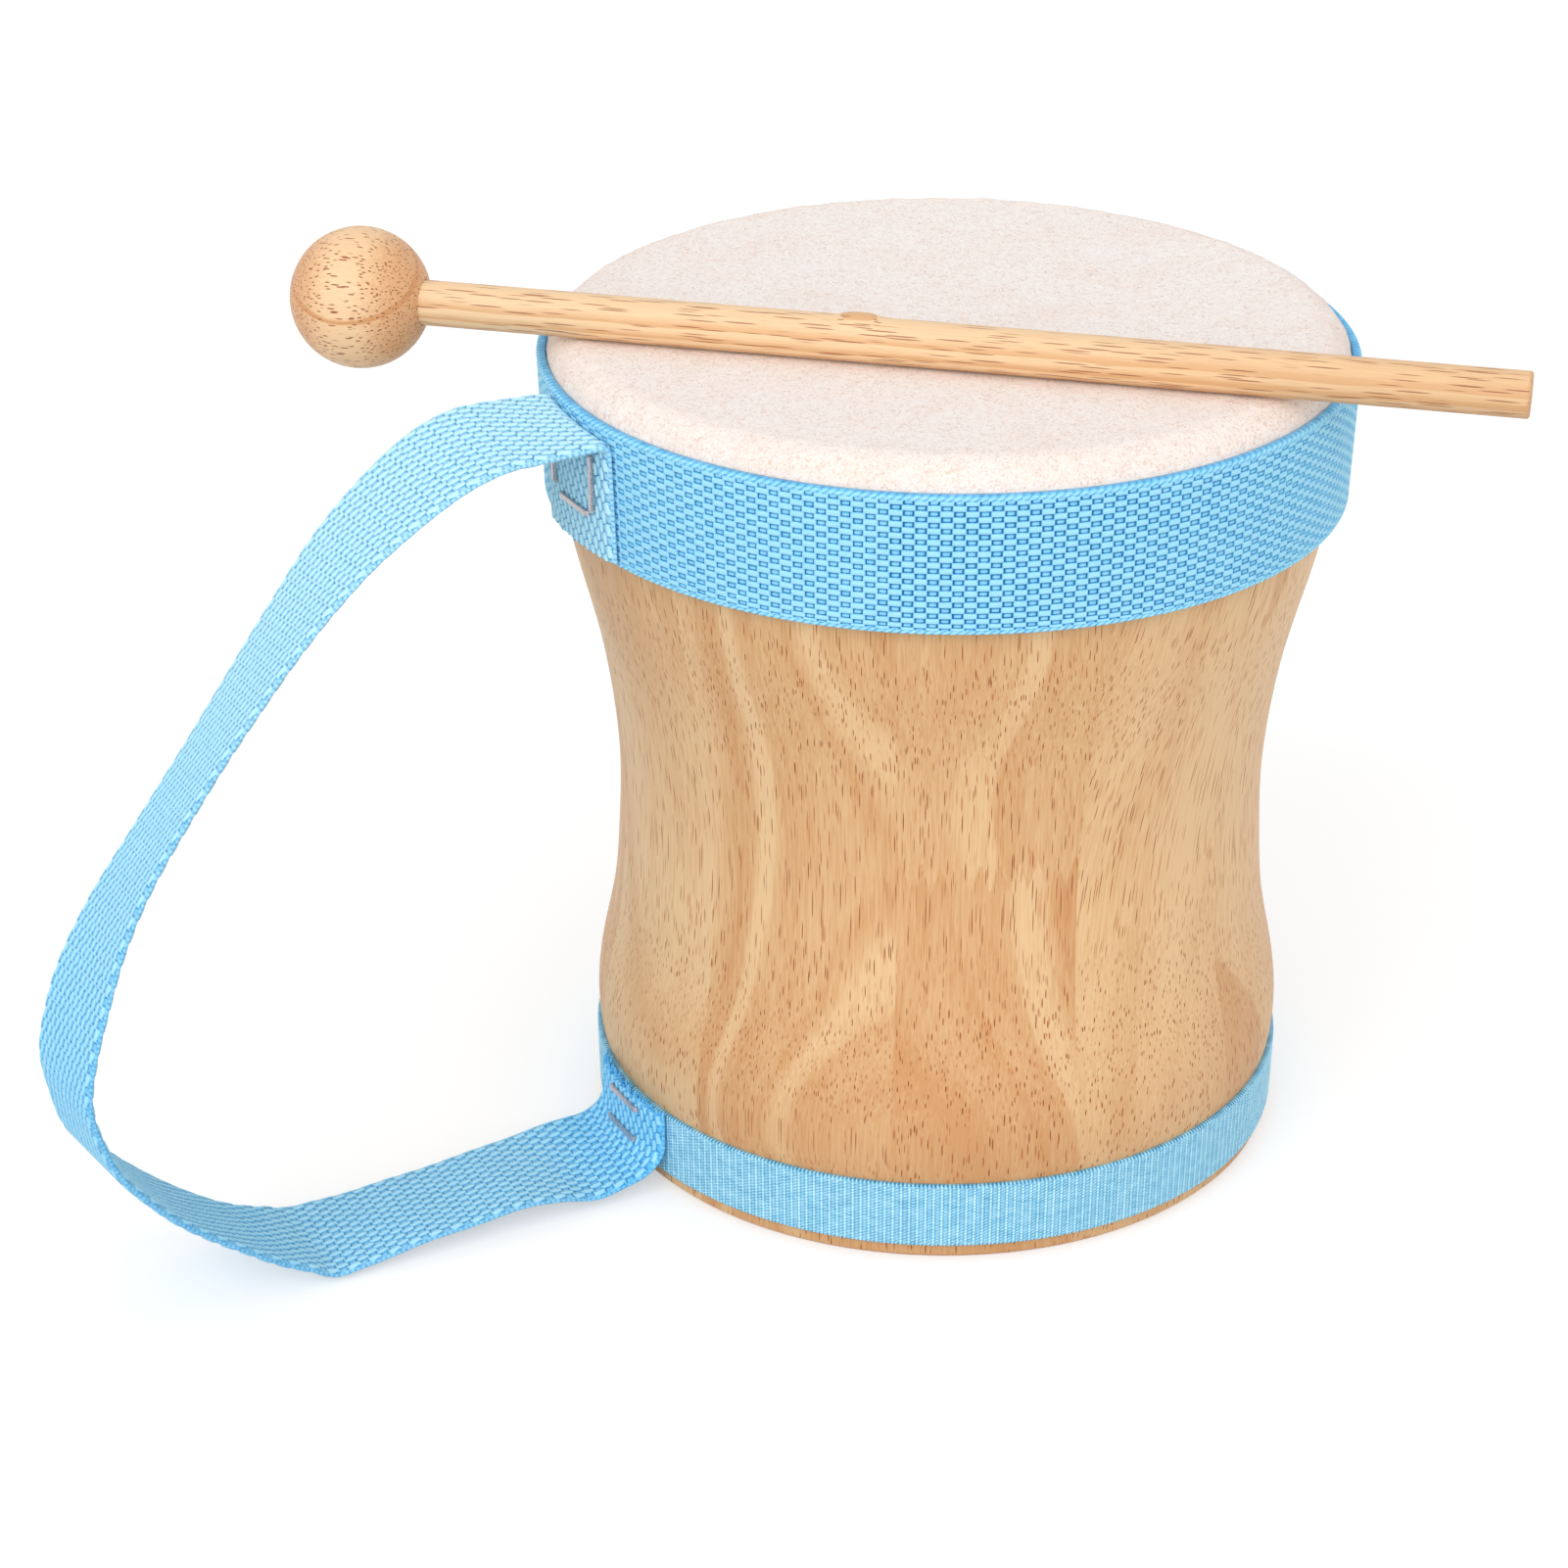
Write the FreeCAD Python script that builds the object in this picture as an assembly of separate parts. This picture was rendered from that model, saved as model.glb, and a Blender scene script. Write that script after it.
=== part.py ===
import FreeCAD, Part
import math
import os

# Hand drum with a stapled webbing strap and a ball mallet lying on its head.
# Millimetres, +Z up. The origin is the centre of the open lower end, on the surface it stands on.
# The strap leaves the drum at strap_azimuth, and the mallet lies along mallet_azimuth.

# Shell: staves glued edge to edge, bored straight through and turned to an hourglass
# Extra radii are how much wider than the base the shell is, and the depth how much narrower
shell_height = 155.5
base_radius = 63.7
foot_top_extra_radius = 0.35
foot_height = 30.0
foot_extra_radius = 0.3
waist_height = 71.5
waist_depth = 4.0
collar_extra_radius = 5.7
rim_extra_radius = 6.5
rim_round = 5.0
edge_break = 0.8
waist_wall = 9.7
bore_break = 1.5
stave_count = 11
first_seam_azimuth = -36.3

# Finger joint that lengthens one stave
jointed_stave_index = 2
finger_height = 75.2
finger_length = 5.8
finger_width = 3.4

# Hide head, wrapped over the rim and down the side
hide_thickness = 1.2
hide_hem_cover = 2.65
glue_gap = 0.05

# Webbing band over the hide's skirt
webbing_thickness = 1.5
webbing_width = 25.0
band_drop = 3.5
band_end_gap = 0.4

# Ribbon round the foot
ribbon_thickness = 0.9
ribbon_width = 12.9
ribbon_lift = 3.05

# Strap: the same webbing, folded out of an upper tab and curled up into a lower tab
strap_azimuth = -152.0
upper_fold_drop = 1.3
upper_tab_lift = 1.2
upper_fold_radius = 0.6
lower_tab_top_drop = 0.2
lower_run_height = 4.0
lower_bend_radius = 5.05
swing_axis_reach = 4.3
swing_arc_radius = 18.0
swing_gap = 0.3
loop_reach = 86.8

# Fine wire staples
crown_length = 10.6
leg_length = 8.0
wire_thickness = 0.5
wire_width = 0.9
crown_round = 0.7
leg_point = 0.8
leg_clearance = 0.04
crown_standoff = 0.25
crown_sink = 0.3

# Mallet: a drilled ball glued on a straight dowel
ball_diameter = 25.0
dowel_diameter = 8.0
dowel_length = 200.0
dowel_seat = 8.4
hole_clearance = 0.1
dowel_edge_break = 0.4
mallet_azimuth = -13.66
ball_azimuth = -178.67
ball_band_gap = 18.2
mallet_rest_gap = 0.25

# Sizes that follow from those above
FULL_TURN = 360.0
foot_top_radius = base_radius + foot_top_extra_radius
foot_radius = base_radius + foot_extra_radius
waist_radius = base_radius - waist_depth
collar_radius = base_radius + collar_extra_radius
rim_radius = base_radius + rim_extra_radius
bore_radius = waist_radius - waist_wall
head_top = shell_height + glue_gap + hide_thickness
band_top = shell_height - band_drop
band_bottom = band_top - webbing_width
collar_height = band_bottom
band_gap = glue_gap + hide_thickness + glue_gap
rim_side_top = shell_height - rim_round
skirt_bottom = band_bottom + hide_hem_cover
ribbon_top = ribbon_lift + ribbon_width
strap_half_width = webbing_width / 2
upper_run_top = band_top - upper_fold_drop
upper_run_height = upper_run_top - webbing_thickness / 2
upper_tab_bottom = band_bottom + upper_tab_lift
lower_tab_inner_radius = foot_top_radius + glue_gap + ribbon_thickness + glue_gap
lower_run_bottom = lower_run_height - webbing_thickness / 2
lower_bend_height = lower_run_bottom + webbing_thickness + lower_bend_radius
swing_axis_radius = base_radius + swing_axis_reach
stub_radius = swing_axis_radius + swing_arc_radius
cut_overrun = 5.0


def side_radius(height):
    """Radius of the straight side under the hide at a height."""
    share = (height - collar_height) / (rim_side_top - collar_height)
    return collar_radius + share * (rim_radius - collar_radius)


def base_side_radius(height):
    """Radius of the straight foot under the ribbon at a height."""
    return base_radius + foot_top_extra_radius * height / ribbon_top


def band_inner_radius(height):
    return side_radius(height) + band_gap


def band_outer_radius(height):
    return band_inner_radius(height) + webbing_thickness


def lower_tab_radius(height):
    """Outer radius of the strap's lower tab: upright, then curling out below its bend's centre."""
    below = max(lower_bend_height - height, 0)
    curl = lower_bend_radius - math.sqrt(lower_bend_radius ** 2 - below ** 2)
    return lower_tab_inner_radius + webbing_thickness + curl


def at(radius, height):
    """A point of a section, in the plane through the drum's axis."""
    return FreeCAD.Vector(radius, 0, height)


def line(start, end):
    return Part.LineSegment(start, end).toShape()


def arc(start, middle, end):
    return Part.Arc(start, middle, end).toShape()


def corner_arc(centre, radius, from_degrees, to_degrees):
    """Arc in the section plane round a centre, by angles from the outward direction."""
    points = []
    for degrees in (from_degrees, (from_degrees + to_degrees) / 2, to_degrees):
        angle = math.radians(degrees)
        points.append(centre + FreeCAD.Vector(radius * math.cos(angle), 0, radius * math.sin(angle)))
    return arc(points[0], points[1], points[2])


def chain(points):
    """Straight edges through the points in turn."""
    return [line(points[i], points[i + 1]) for i in range(len(points) - 1)]


def turned(edges, from_azimuth, sweep):
    """Solid that a closed section makes when it turns about the drum's axis."""
    face = Part.Face(Part.Wire(Part.__sortEdges__(edges)))
    origin = FreeCAD.Vector(0, 0, 0)
    upward = FreeCAD.Vector(0, 0, 1)
    solid = face.revolve(origin, upward, sweep)
    solid.rotate(origin, upward, from_azimuth)
    return solid


def placed(shape, radius, height, azimuth):
    """Copy of a shape moved out along +X, up, and round to its azimuth."""
    moved = shape.copy()
    moved.translate(FreeCAD.Vector(radius, 0, height))
    moved.rotate(FreeCAD.Vector(0, 0, 0), FreeCAD.Vector(0, 0, 1), azimuth)
    return moved


def export(name, solids):
    shape = solids[0] if len(solids) == 1 else Part.Compound(solids)
    shape.exportStep(os.path.join("parts", name + ".step"))
    print(name, len(shape.Solids), round(shape.Volume, 1), shape.isValid())


# Shell section
# Shares of the way from foot to waist and from waist to collar, with the shares of the radius lost or won
foot_curve_shares = ((0.33, 0.37), (0.665, 0.085))
waist_curve_shares = ((0.249, 0.113), (0.5, 0.35), (0.75, 0.711))


def shell_curve():
    points = [at(foot_top_radius, ribbon_top), at(foot_radius, foot_height)]
    for way, left in foot_curve_shares:
        height = foot_height + way * (waist_height - foot_height)
        points.append(at(waist_radius + left * (foot_radius - waist_radius), height))
    points.append(at(waist_radius, waist_height))
    for way, won in waist_curve_shares:
        height = waist_height + way * (collar_height - waist_height)
        points.append(at(waist_radius + won * (collar_radius - waist_radius), height))
    points.append(at(collar_radius, collar_height))
    curve = Part.BSplineCurve()
    curve.interpolate(points)
    return curve.toShape()


def shell_section():
    rim_centre = at(rim_radius - rim_round, rim_side_top)
    foot = chain([
        at(bore_radius, 0),
        at(base_radius - edge_break, 0),
        at(base_side_radius(edge_break), edge_break),
        at(foot_top_radius, ribbon_top),
    ])
    side = [line(at(collar_radius, collar_height), at(rim_radius, rim_side_top))]
    rim = [corner_arc(rim_centre, rim_round, 0, 90)]
    inside = chain([
        at(rim_radius - rim_round, shell_height),
        at(bore_radius + bore_break, shell_height),
        at(bore_radius, shell_height - bore_break),
        at(bore_radius, 0),
    ])
    return foot + [shell_curve()] + side + rim + inside


# Seams: an even pitch, each moved by a share of it, because staves are sawn to random widths
# The last seam is the first one again, a full turn on
seam_shift_shares = (0.0, 0.02, 0.08, 0.01, -0.01, -0.05, 0.04, 0.06, 0.05, 0.02, -0.04)


def seam_azimuth(index):
    """Azimuth of the seam between two staves, falling as the index rises."""
    pitch = FULL_TURN / stave_count
    shift = seam_shift_shares[index % stave_count % len(seam_shift_shares)]
    return first_seam_azimuth - (index - shift) * pitch


def finger_cutter(azimuth):
    """Solid above the zigzag of the finger joint, square to the stave's middle."""
    finger_count = math.ceil(waist_radius / finger_width)
    half_width = finger_count * finger_width / 2
    low = finger_height - finger_length / 2
    high = finger_height + finger_length / 2
    inner = bore_radius - cut_overrun
    depth = rim_radius + cut_overrun - inner
    points = [FreeCAD.Vector(inner, -half_width, shell_height + cut_overrun)]
    for i in range(finger_count):
        points.append(FreeCAD.Vector(inner, -half_width + i * finger_width, low))
        points.append(FreeCAD.Vector(inner, -half_width + (i + 0.5) * finger_width, high))
    points.append(FreeCAD.Vector(inner, half_width, low))
    points.append(FreeCAD.Vector(inner, half_width, shell_height + cut_overrun))
    points.append(points[0])
    cutter = Part.Face(Part.makePolygon(points)).extrude(FreeCAD.Vector(depth, 0, 0))
    return placed(cutter, 0, 0, azimuth)


# Staples
def staple():
    """Chisel-pointed staple at the origin: crown along Y, legs towards -X."""
    half = crown_length / 2
    inset = crown_round * (1 - math.sqrt(0.5))
    x_out = wire_thickness

    def p(x, y):
        return FreeCAD.Vector(x, y, -wire_width / 2)

    edges = [
        line(p(x_out, crown_round - half), p(x_out, half - crown_round)),
        arc(p(x_out, half - crown_round), p(x_out - inset, half - inset), p(x_out - crown_round, half)),
    ]
    edges += [
        line(p(x_out - crown_round, half), p(leg_point - leg_length, half)),
        line(p(leg_point - leg_length, half), p(-leg_length, half - wire_thickness / 2)),
        line(p(-leg_length, half - wire_thickness / 2), p(leg_point - leg_length, half - wire_thickness)),
        line(p(leg_point - leg_length, half - wire_thickness), p(0, half - wire_thickness)),
        line(p(0, half - wire_thickness), p(0, wire_thickness - half)),
        line(p(0, wire_thickness - half), p(leg_point - leg_length, wire_thickness - half)),
        line(p(leg_point - leg_length, wire_thickness - half), p(-leg_length, wire_thickness / 2 - half)),
        line(p(-leg_length, wire_thickness / 2 - half), p(leg_point - leg_length, -half)),
        line(p(leg_point - leg_length, -half), p(x_out - crown_round, -half)),
    ]
    edges.append(
        arc(p(x_out - crown_round, -half), p(x_out - inset, inset - half), p(x_out, crown_round - half)))
    face = Part.Face(Part.Wire(Part.__sortEdges__(edges)))
    return face.extrude(FreeCAD.Vector(0, 0, wire_width))


def staple_holes(mouth):
    """The two slots that the legs punch, from below their points to a mouth outside the crown."""
    slot_width = wire_thickness + 2 * leg_clearance
    slot_height = wire_width + 2 * leg_clearance
    depth = leg_length + leg_clearance + mouth
    slots = []
    for side in (-1, 1):
        middle = side * (crown_length - wire_thickness) / 2
        corner = FreeCAD.Vector(-leg_length - leg_clearance, middle - slot_width / 2, -slot_height / 2)
        slots.append(Part.makeBox(depth, slot_width, slot_height, corner))
    return Part.Compound(slots)


def upright(shape):
    """The same shape with its crown standing along Z."""
    turned_shape = shape.copy()
    turned_shape.rotate(FreeCAD.Vector(0, 0, 0), FreeCAD.Vector(1, 0, 0), 90)
    return turned_shape


# Hide head
def hide_section():
    inner_round = rim_round + glue_gap
    outer_round = inner_round + hide_thickness
    rim_centre = at(rim_radius - rim_round, rim_side_top)
    wood = side_radius(skirt_bottom)
    outer = chain([
        at(wood + glue_gap, skirt_bottom),
        at(wood + glue_gap + hide_thickness, skirt_bottom),
        at(rim_centre.x + outer_round, rim_side_top),
    ])
    inner = chain([
        at(rim_centre.x, shell_height + glue_gap),
        at(0, shell_height + glue_gap),
        at(0, head_top),
        at(rim_centre.x, head_top),
    ])
    skirt_inside = [line(at(rim_centre.x + inner_round, rim_side_top), at(wood + glue_gap, skirt_bottom))]
    rounds = [corner_arc(rim_centre, outer_round, 0, 90), corner_arc(rim_centre, inner_round, 0, 90)]
    return outer + inner + skirt_inside + rounds


def band_section(bottom, top, inner_at, thickness):
    return chain([
        at(inner_at(bottom), bottom),
        at(inner_at(bottom) + thickness, bottom),
        at(inner_at(top) + thickness, top),
        at(inner_at(top), top),
        at(inner_at(bottom), bottom),
    ])


def ribbon_inner_radius(height):
    return base_side_radius(height) + glue_gap


# Strap pieces, made along +X and then turned to the strap's azimuth
def strap_slab(solid):
    """Keep only the webbing's width of a turned piece."""
    length = stub_radius + cut_overrun
    corner = FreeCAD.Vector(0, -strap_half_width, -cut_overrun)
    return solid.common(Part.makeBox(length, webbing_width, shell_height + 2 * cut_overrun, corner))


def stub(start_radius, bottom):
    """Flat end of the strap, out to the arc on which the loop swings."""
    height = webbing_thickness
    disc = Part.makeCylinder(swing_arc_radius, height, FreeCAD.Vector(swing_axis_radius, 0, bottom))
    core = Part.makeCylinder(start_radius, height, FreeCAD.Vector(0, 0, bottom))
    ring = Part.makeCylinder(stub_radius, height, FreeCAD.Vector(0, 0, bottom)).cut(core)
    return strap_slab(ring.common(disc))


def upper_tab():
    fold_outer = upper_fold_radius + webbing_thickness
    plate_inner = band_outer_radius(upper_run_top) + glue_gap
    fold_centre = at(plate_inner + fold_outer, upper_run_top - fold_outer)
    bottom_inner = band_outer_radius(upper_tab_bottom) + glue_gap
    section = chain([
        at(fold_centre.x, upper_run_top - webbing_thickness),
        at(fold_centre.x, upper_run_top),
    ])
    section += chain([
        at(plate_inner, fold_centre.z),
        at(bottom_inner, upper_tab_bottom),
        at(bottom_inner + webbing_thickness, upper_tab_bottom),
        at(plate_inner + webbing_thickness, fold_centre.z),
    ])
    section.append(corner_arc(fold_centre, fold_outer, 90, 180))
    section.append(corner_arc(fold_centre, upper_fold_radius, 180, 90))
    sweep = math.degrees(math.asin(webbing_width / band_outer_radius(upper_tab_bottom)))
    plate = strap_slab(turned(section, -sweep / 2, sweep))
    return plate.fuse(stub(fold_centre.x, upper_run_top - webbing_thickness)).removeSplitter()


def lower_tab():
    tab_top = ribbon_top - lower_tab_top_drop
    inner = lower_tab_inner_radius
    outer = inner + webbing_thickness
    bend_outer = lower_bend_radius + webbing_thickness
    bend_centre = at(inner + bend_outer, lower_bend_height)
    section = chain([
        at(bend_centre.x, lower_run_bottom),
        at(bend_centre.x, lower_run_bottom + webbing_thickness),
    ])
    section += chain([
        at(outer, bend_centre.z),
        at(outer, tab_top),
        at(inner, tab_top),
        at(inner, bend_centre.z),
    ])
    section.append(corner_arc(bend_centre, bend_outer, 180, 270))
    section.append(corner_arc(bend_centre, lower_bend_radius, 180, 270))
    sweep = math.degrees(math.asin(webbing_width / inner))
    plate = strap_slab(turned(section, -sweep / 2, sweep))
    return plate.fuse(stub(bend_centre.x, lower_run_bottom)).removeSplitter()


# Shares of the loop's reach past the stubs, and of the height between its lower and upper run
loop_shares = (
    (0.0, 1.0),
    (0.06, 0.998),
    (0.161, 0.978),
    (0.323, 0.913),
    (0.501, 0.795),
    (0.691, 0.640),
    (0.855, 0.493),
    (0.968, 0.360),
    (1.0, 0.281),
    (0.962, 0.202),
    (0.870, 0.137),
    (0.720, 0.056),
    (0.588, 0.004),
    (0.438, -0.019),
    (0.253, -0.009),
    (0.08, -0.001),
    (0.0, 0.0),
)
loop_samples = 60


def loop_line():
    """Middle line of the loop's webbing, level at both ends."""
    rise = upper_run_height - lower_run_height
    points = []
    for reach_share, height_share in loop_shares:
        points.append(at(stub_radius + reach_share * loop_reach, lower_run_height + height_share * rise))
    curve = Part.BSplineCurve()
    curve.interpolate(points)
    return curve


def loop_side(curve, offset):
    """The middle line moved sideways by an offset, towards the outside of the loop where positive."""
    points = []
    for i in range(loop_samples + 1):
        way = i / loop_samples
        at_parameter = curve.FirstParameter + way * (curve.LastParameter - curve.FirstParameter)
        tangent = curve.tangent(at_parameter)[0]
        normal = FreeCAD.Vector(-tangent.z, 0, tangent.x)
        points.append(curve.value(at_parameter) + normal * offset)
    side = Part.BSplineCurve()
    side.interpolate(points)
    return side.toShape(), points[0], points[-1]


def strap_loop():
    curve = loop_line()
    outer, outer_start, outer_end = loop_side(curve, webbing_thickness / 2)
    inner, inner_start, inner_end = loop_side(curve, -webbing_thickness / 2)
    upper_root_outer = at(swing_axis_radius, outer_start.z)
    upper_root_inner = at(swing_axis_radius, inner_start.z)
    lower_root_outer = at(swing_axis_radius, outer_end.z)
    lower_root_inner = at(swing_axis_radius, inner_end.z)
    edges = [outer, inner]
    edges += chain([outer_start, upper_root_outer, upper_root_inner, inner_start])
    edges += chain([outer_end, lower_root_outer, lower_root_inner, inner_end])
    face = Part.Face(Part.Wire(Part.__sortEdges__(edges)))
    face.translate(FreeCAD.Vector(0, -strap_half_width, 0))
    ribbon = face.extrude(FreeCAD.Vector(0, webbing_width, 0))
    arc_radius = swing_arc_radius + swing_gap
    clearance_height = shell_height + 2 * cut_overrun
    axis_foot = FreeCAD.Vector(swing_axis_radius, 0, -cut_overrun)
    print("strap loop middle line", round(curve.length(), 1))
    return ribbon.cut(Part.makeCylinder(arc_radius, clearance_height, axis_foot))


# Mallet, made along +X from the ball's centre
def mallet_place(shape):
    axis_height = head_top + mallet_rest_gap + dowel_diameter / 2
    reach = band_outer_radius(band_top) + ball_band_gap + ball_diameter / 2
    angle = math.radians(ball_azimuth)
    moved = shape.copy()
    moved.rotate(FreeCAD.Vector(0, 0, 0), FreeCAD.Vector(0, 0, 1), mallet_azimuth)
    moved.translate(FreeCAD.Vector(reach * math.cos(angle), reach * math.sin(angle), axis_height))
    return moved


def spun(edges):
    """Solid that a closed outline makes when it turns about the mallet's own axis."""
    face = Part.Face(Part.Wire(Part.__sortEdges__(edges)))
    return face.revolve(FreeCAD.Vector(0, 0, 0), FreeCAD.Vector(1, 0, 0), FULL_TURN)


def mallet_ball():
    radius = ball_diameter / 2
    hole_bottom = radius - dowel_seat - hole_clearance
    hole_radius = dowel_diameter / 2 + hole_clearance
    mouth = math.sqrt(radius ** 2 - hole_radius ** 2)
    edges = chain([at(-radius, 0), at(hole_bottom, 0), at(hole_bottom, hole_radius), at(mouth, hole_radius)])
    edges.append(arc(at(mouth, hole_radius), at(0, radius), at(-radius, 0)))
    return spun(edges)


def mallet_handle():
    start = ball_diameter / 2 - dowel_seat
    radius = dowel_diameter / 2
    end = start + dowel_length
    return spun(chain([
        at(start, 0),
        at(start, radius - dowel_edge_break),
        at(start + dowel_edge_break, radius),
        at(end - dowel_edge_break, radius),
        at(end, radius - dowel_edge_break),
        at(end, 0),
        at(start, 0),
    ]))


# Where the staples go: share of the webbing's width from its middle, and share of the tab's height
upper_side_staple_shares = ((0.31, 0.594), (-0.28, 0.61))
upper_cross_staple_shares = (0.04, 0.325)
lower_staple_height_shares = (0.86, 0.34)
hide_staple_height_share = 0.556
# Places across each stave, away from its glue seams
hide_staple_stave_shares = (0.25, 0.75)

wire_staple = staple()
leg_slots = staple_holes(wire_thickness)

hide_staple_height = skirt_bottom + hide_staple_height_share * (rim_side_top - skirt_bottom)
hide_crown_radius = side_radius(hide_staple_height) + glue_gap + hide_thickness - crown_sink - wire_thickness
hide_staples = []
hide_slots = []
crown_pockets = []
pocket_length = crown_length + 2 * leg_clearance
pocket_height = wire_width + 2 * leg_clearance
pocket_corner = FreeCAD.Vector(-leg_clearance, -pocket_length / 2, -pocket_height / 2)
pocket = Part.makeBox(hide_thickness, pocket_length, pocket_height, pocket_corner)
for i in range(stave_count):
    for share in hide_staple_stave_shares:
        azimuth = seam_azimuth(i) + share * (seam_azimuth(i + 1) - seam_azimuth(i))
        hide_staples.append(placed(wire_staple, hide_crown_radius, hide_staple_height, azimuth))
        hide_slots.append(placed(leg_slots, hide_crown_radius, hide_staple_height, azimuth))
        crown_pockets.append(placed(pocket, hide_crown_radius, hide_staple_height, azimuth))

upper_tab_height = upper_run_top - upper_tab_bottom
upper_staples = []
upper_slots = []


def pin_upper_tab(fastener, slots, width_share, height_share):
    """Drive a staple into the upper tab, its crown standing off the webbing."""
    height = upper_tab_bottom + height_share * upper_tab_height
    crown_radius = band_outer_radius(height) + glue_gap + webbing_thickness + crown_standoff
    azimuth = strap_azimuth + math.degrees(math.asin(width_share * webbing_width / crown_radius))
    upper_staples.append(placed(fastener, crown_radius, height, azimuth))
    upper_slots.append(placed(slots, crown_radius, height, azimuth))


for width_share, height_share in upper_side_staple_shares:
    pin_upper_tab(upright(wire_staple), upright(leg_slots), width_share, height_share)
pin_upper_tab(wire_staple, leg_slots, upper_cross_staple_shares[0], upper_cross_staple_shares[1])

lower_staples = []
lower_slots = []
for height_share in lower_staple_height_shares:
    height = lower_run_height + height_share * (ribbon_top - lower_run_height)
    crown_radius = lower_tab_radius(height - wire_width / 2) + crown_standoff
    lower_staples.append(placed(wire_staple, crown_radius, height, strap_azimuth))
    lower_slots.append(placed(leg_slots, crown_radius, height, strap_azimuth))

upper_slot_group = Part.Compound(upper_slots)
lower_slot_group = Part.Compound(lower_slots)
hide_slot_group = Part.Compound(hide_slots)
wood_slots = Part.Compound(upper_slots + lower_slots + hide_slots)

section = shell_section()
for i in range(stave_count):
    end_azimuth = seam_azimuth(i)
    start_azimuth = seam_azimuth(i + 1)
    sweep = (end_azimuth - start_azimuth) % FULL_TURN
    stave = turned(section, start_azimuth, sweep).cut(wood_slots)
    name = "stave_%02d" % (i + 1)
    if i + 1 == jointed_stave_index:
        cutter = finger_cutter(start_azimuth + sweep / 2)
        export(name + "_upper", [stave.common(cutter)])
        export(name + "_lower", [stave.cut(cutter)])
    else:
        export(name, [stave])

head_skin = turned(hide_section(), 0, FULL_TURN)
head_skin = head_skin.cut(Part.Compound(crown_pockets)).cut(hide_slot_group).cut(upper_slot_group)
export("head_skin", [head_skin])
export("hide_staples", hide_staples)

band_edges = band_section(band_bottom, band_top, band_inner_radius, webbing_thickness)
band_gap_degrees = math.degrees(band_end_gap / band_inner_radius(band_bottom))
upper_band = turned(band_edges, strap_azimuth + band_gap_degrees / 2, FULL_TURN - band_gap_degrees)
export("upper_band", [upper_band.cut(upper_slot_group)])

ribbon_edges = band_section(ribbon_lift, ribbon_top, ribbon_inner_radius, ribbon_thickness)
ribbon_gap_degrees = math.degrees(band_end_gap / ribbon_inner_radius(ribbon_lift))
foot_ribbon = turned(ribbon_edges, strap_azimuth + ribbon_gap_degrees / 2, FULL_TURN - ribbon_gap_degrees)
export("foot_ribbon", [foot_ribbon.cut(lower_slot_group)])

export("strap_upper_tab", [placed(upper_tab(), 0, 0, strap_azimuth).cut(upper_slot_group)])
export("strap_loop", [placed(strap_loop(), 0, 0, strap_azimuth)])
export("strap_lower_tab", [placed(lower_tab(), 0, 0, strap_azimuth).cut(lower_slot_group)])
export("upper_tab_staples", upper_staples)
export("lower_tab_staples", lower_staples)

export("mallet_ball", [mallet_place(mallet_ball())])
export("mallet_handle", [mallet_place(mallet_handle())])
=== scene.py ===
import math

import bpy
import numpy as np
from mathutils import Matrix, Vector


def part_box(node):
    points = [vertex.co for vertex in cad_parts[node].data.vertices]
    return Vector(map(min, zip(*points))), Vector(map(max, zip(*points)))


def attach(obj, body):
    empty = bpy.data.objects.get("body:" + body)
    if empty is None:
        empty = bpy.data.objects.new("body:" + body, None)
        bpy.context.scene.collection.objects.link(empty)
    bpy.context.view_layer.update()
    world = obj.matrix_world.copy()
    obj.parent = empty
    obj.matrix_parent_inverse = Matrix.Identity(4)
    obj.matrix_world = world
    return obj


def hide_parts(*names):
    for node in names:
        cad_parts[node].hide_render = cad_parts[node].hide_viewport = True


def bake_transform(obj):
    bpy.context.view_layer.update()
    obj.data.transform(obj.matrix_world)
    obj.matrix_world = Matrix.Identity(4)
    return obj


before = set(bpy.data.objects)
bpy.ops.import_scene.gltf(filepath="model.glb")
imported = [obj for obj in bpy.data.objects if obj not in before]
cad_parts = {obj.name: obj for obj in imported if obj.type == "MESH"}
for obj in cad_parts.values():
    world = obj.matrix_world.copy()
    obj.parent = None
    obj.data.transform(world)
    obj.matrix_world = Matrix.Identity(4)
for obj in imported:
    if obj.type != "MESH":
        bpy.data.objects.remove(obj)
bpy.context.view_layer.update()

MM = 0.001

# Shell staves
# Eleven rubberwood staves glued edge to edge and turned to an hourglass, one of them finger-jointed.
# Each keeps its own solid here and gets its own board: flat growth rings that the turning cuts
# open into arches and streaks, brown pores that run up the board, and fine fibres.


def linear(red, green, blue):
    """A colour given in screen values, as the shaders take it."""
    channels = [c / 255 for c in (red, green, blue)]
    return tuple(c / 12.92 if c <= 0.04045 else ((c + 0.055) / 1.055) ** 2.4 for c in channels) + (1.0,)


def put(tree, kind, sockets=None, **settings):
    """One shader node with its settings, and what each socket takes: a value or another node's output."""
    node = tree.nodes.new("ShaderNode" + kind)
    for name, value in settings.items():
        setattr(node, name, value)
    for socket, value in (sockets or {}).items():
        if isinstance(value, bpy.types.NodeSocket):
            tree.links.new(value, node.inputs[socket])
        else:
            node.inputs[socket].default_value = value
    return node


def sum_of(tree, operation, first, second=0.0, third=0.0):
    return put(tree, "Math", {0: first, 1: second, 2: third}, operation=operation).outputs[0]


def vector_of(tree, operation, first, second=None, scale=None):
    sockets = {0: first}
    if second is not None:
        sockets[1] = second
    if scale is not None:
        sockets["Scale"] = scale
    node = put(tree, "VectorMath", sockets, operation=operation)
    return node.outputs["Value" if operation in ("DOT_PRODUCT", "LENGTH") else "Vector"]


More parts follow.
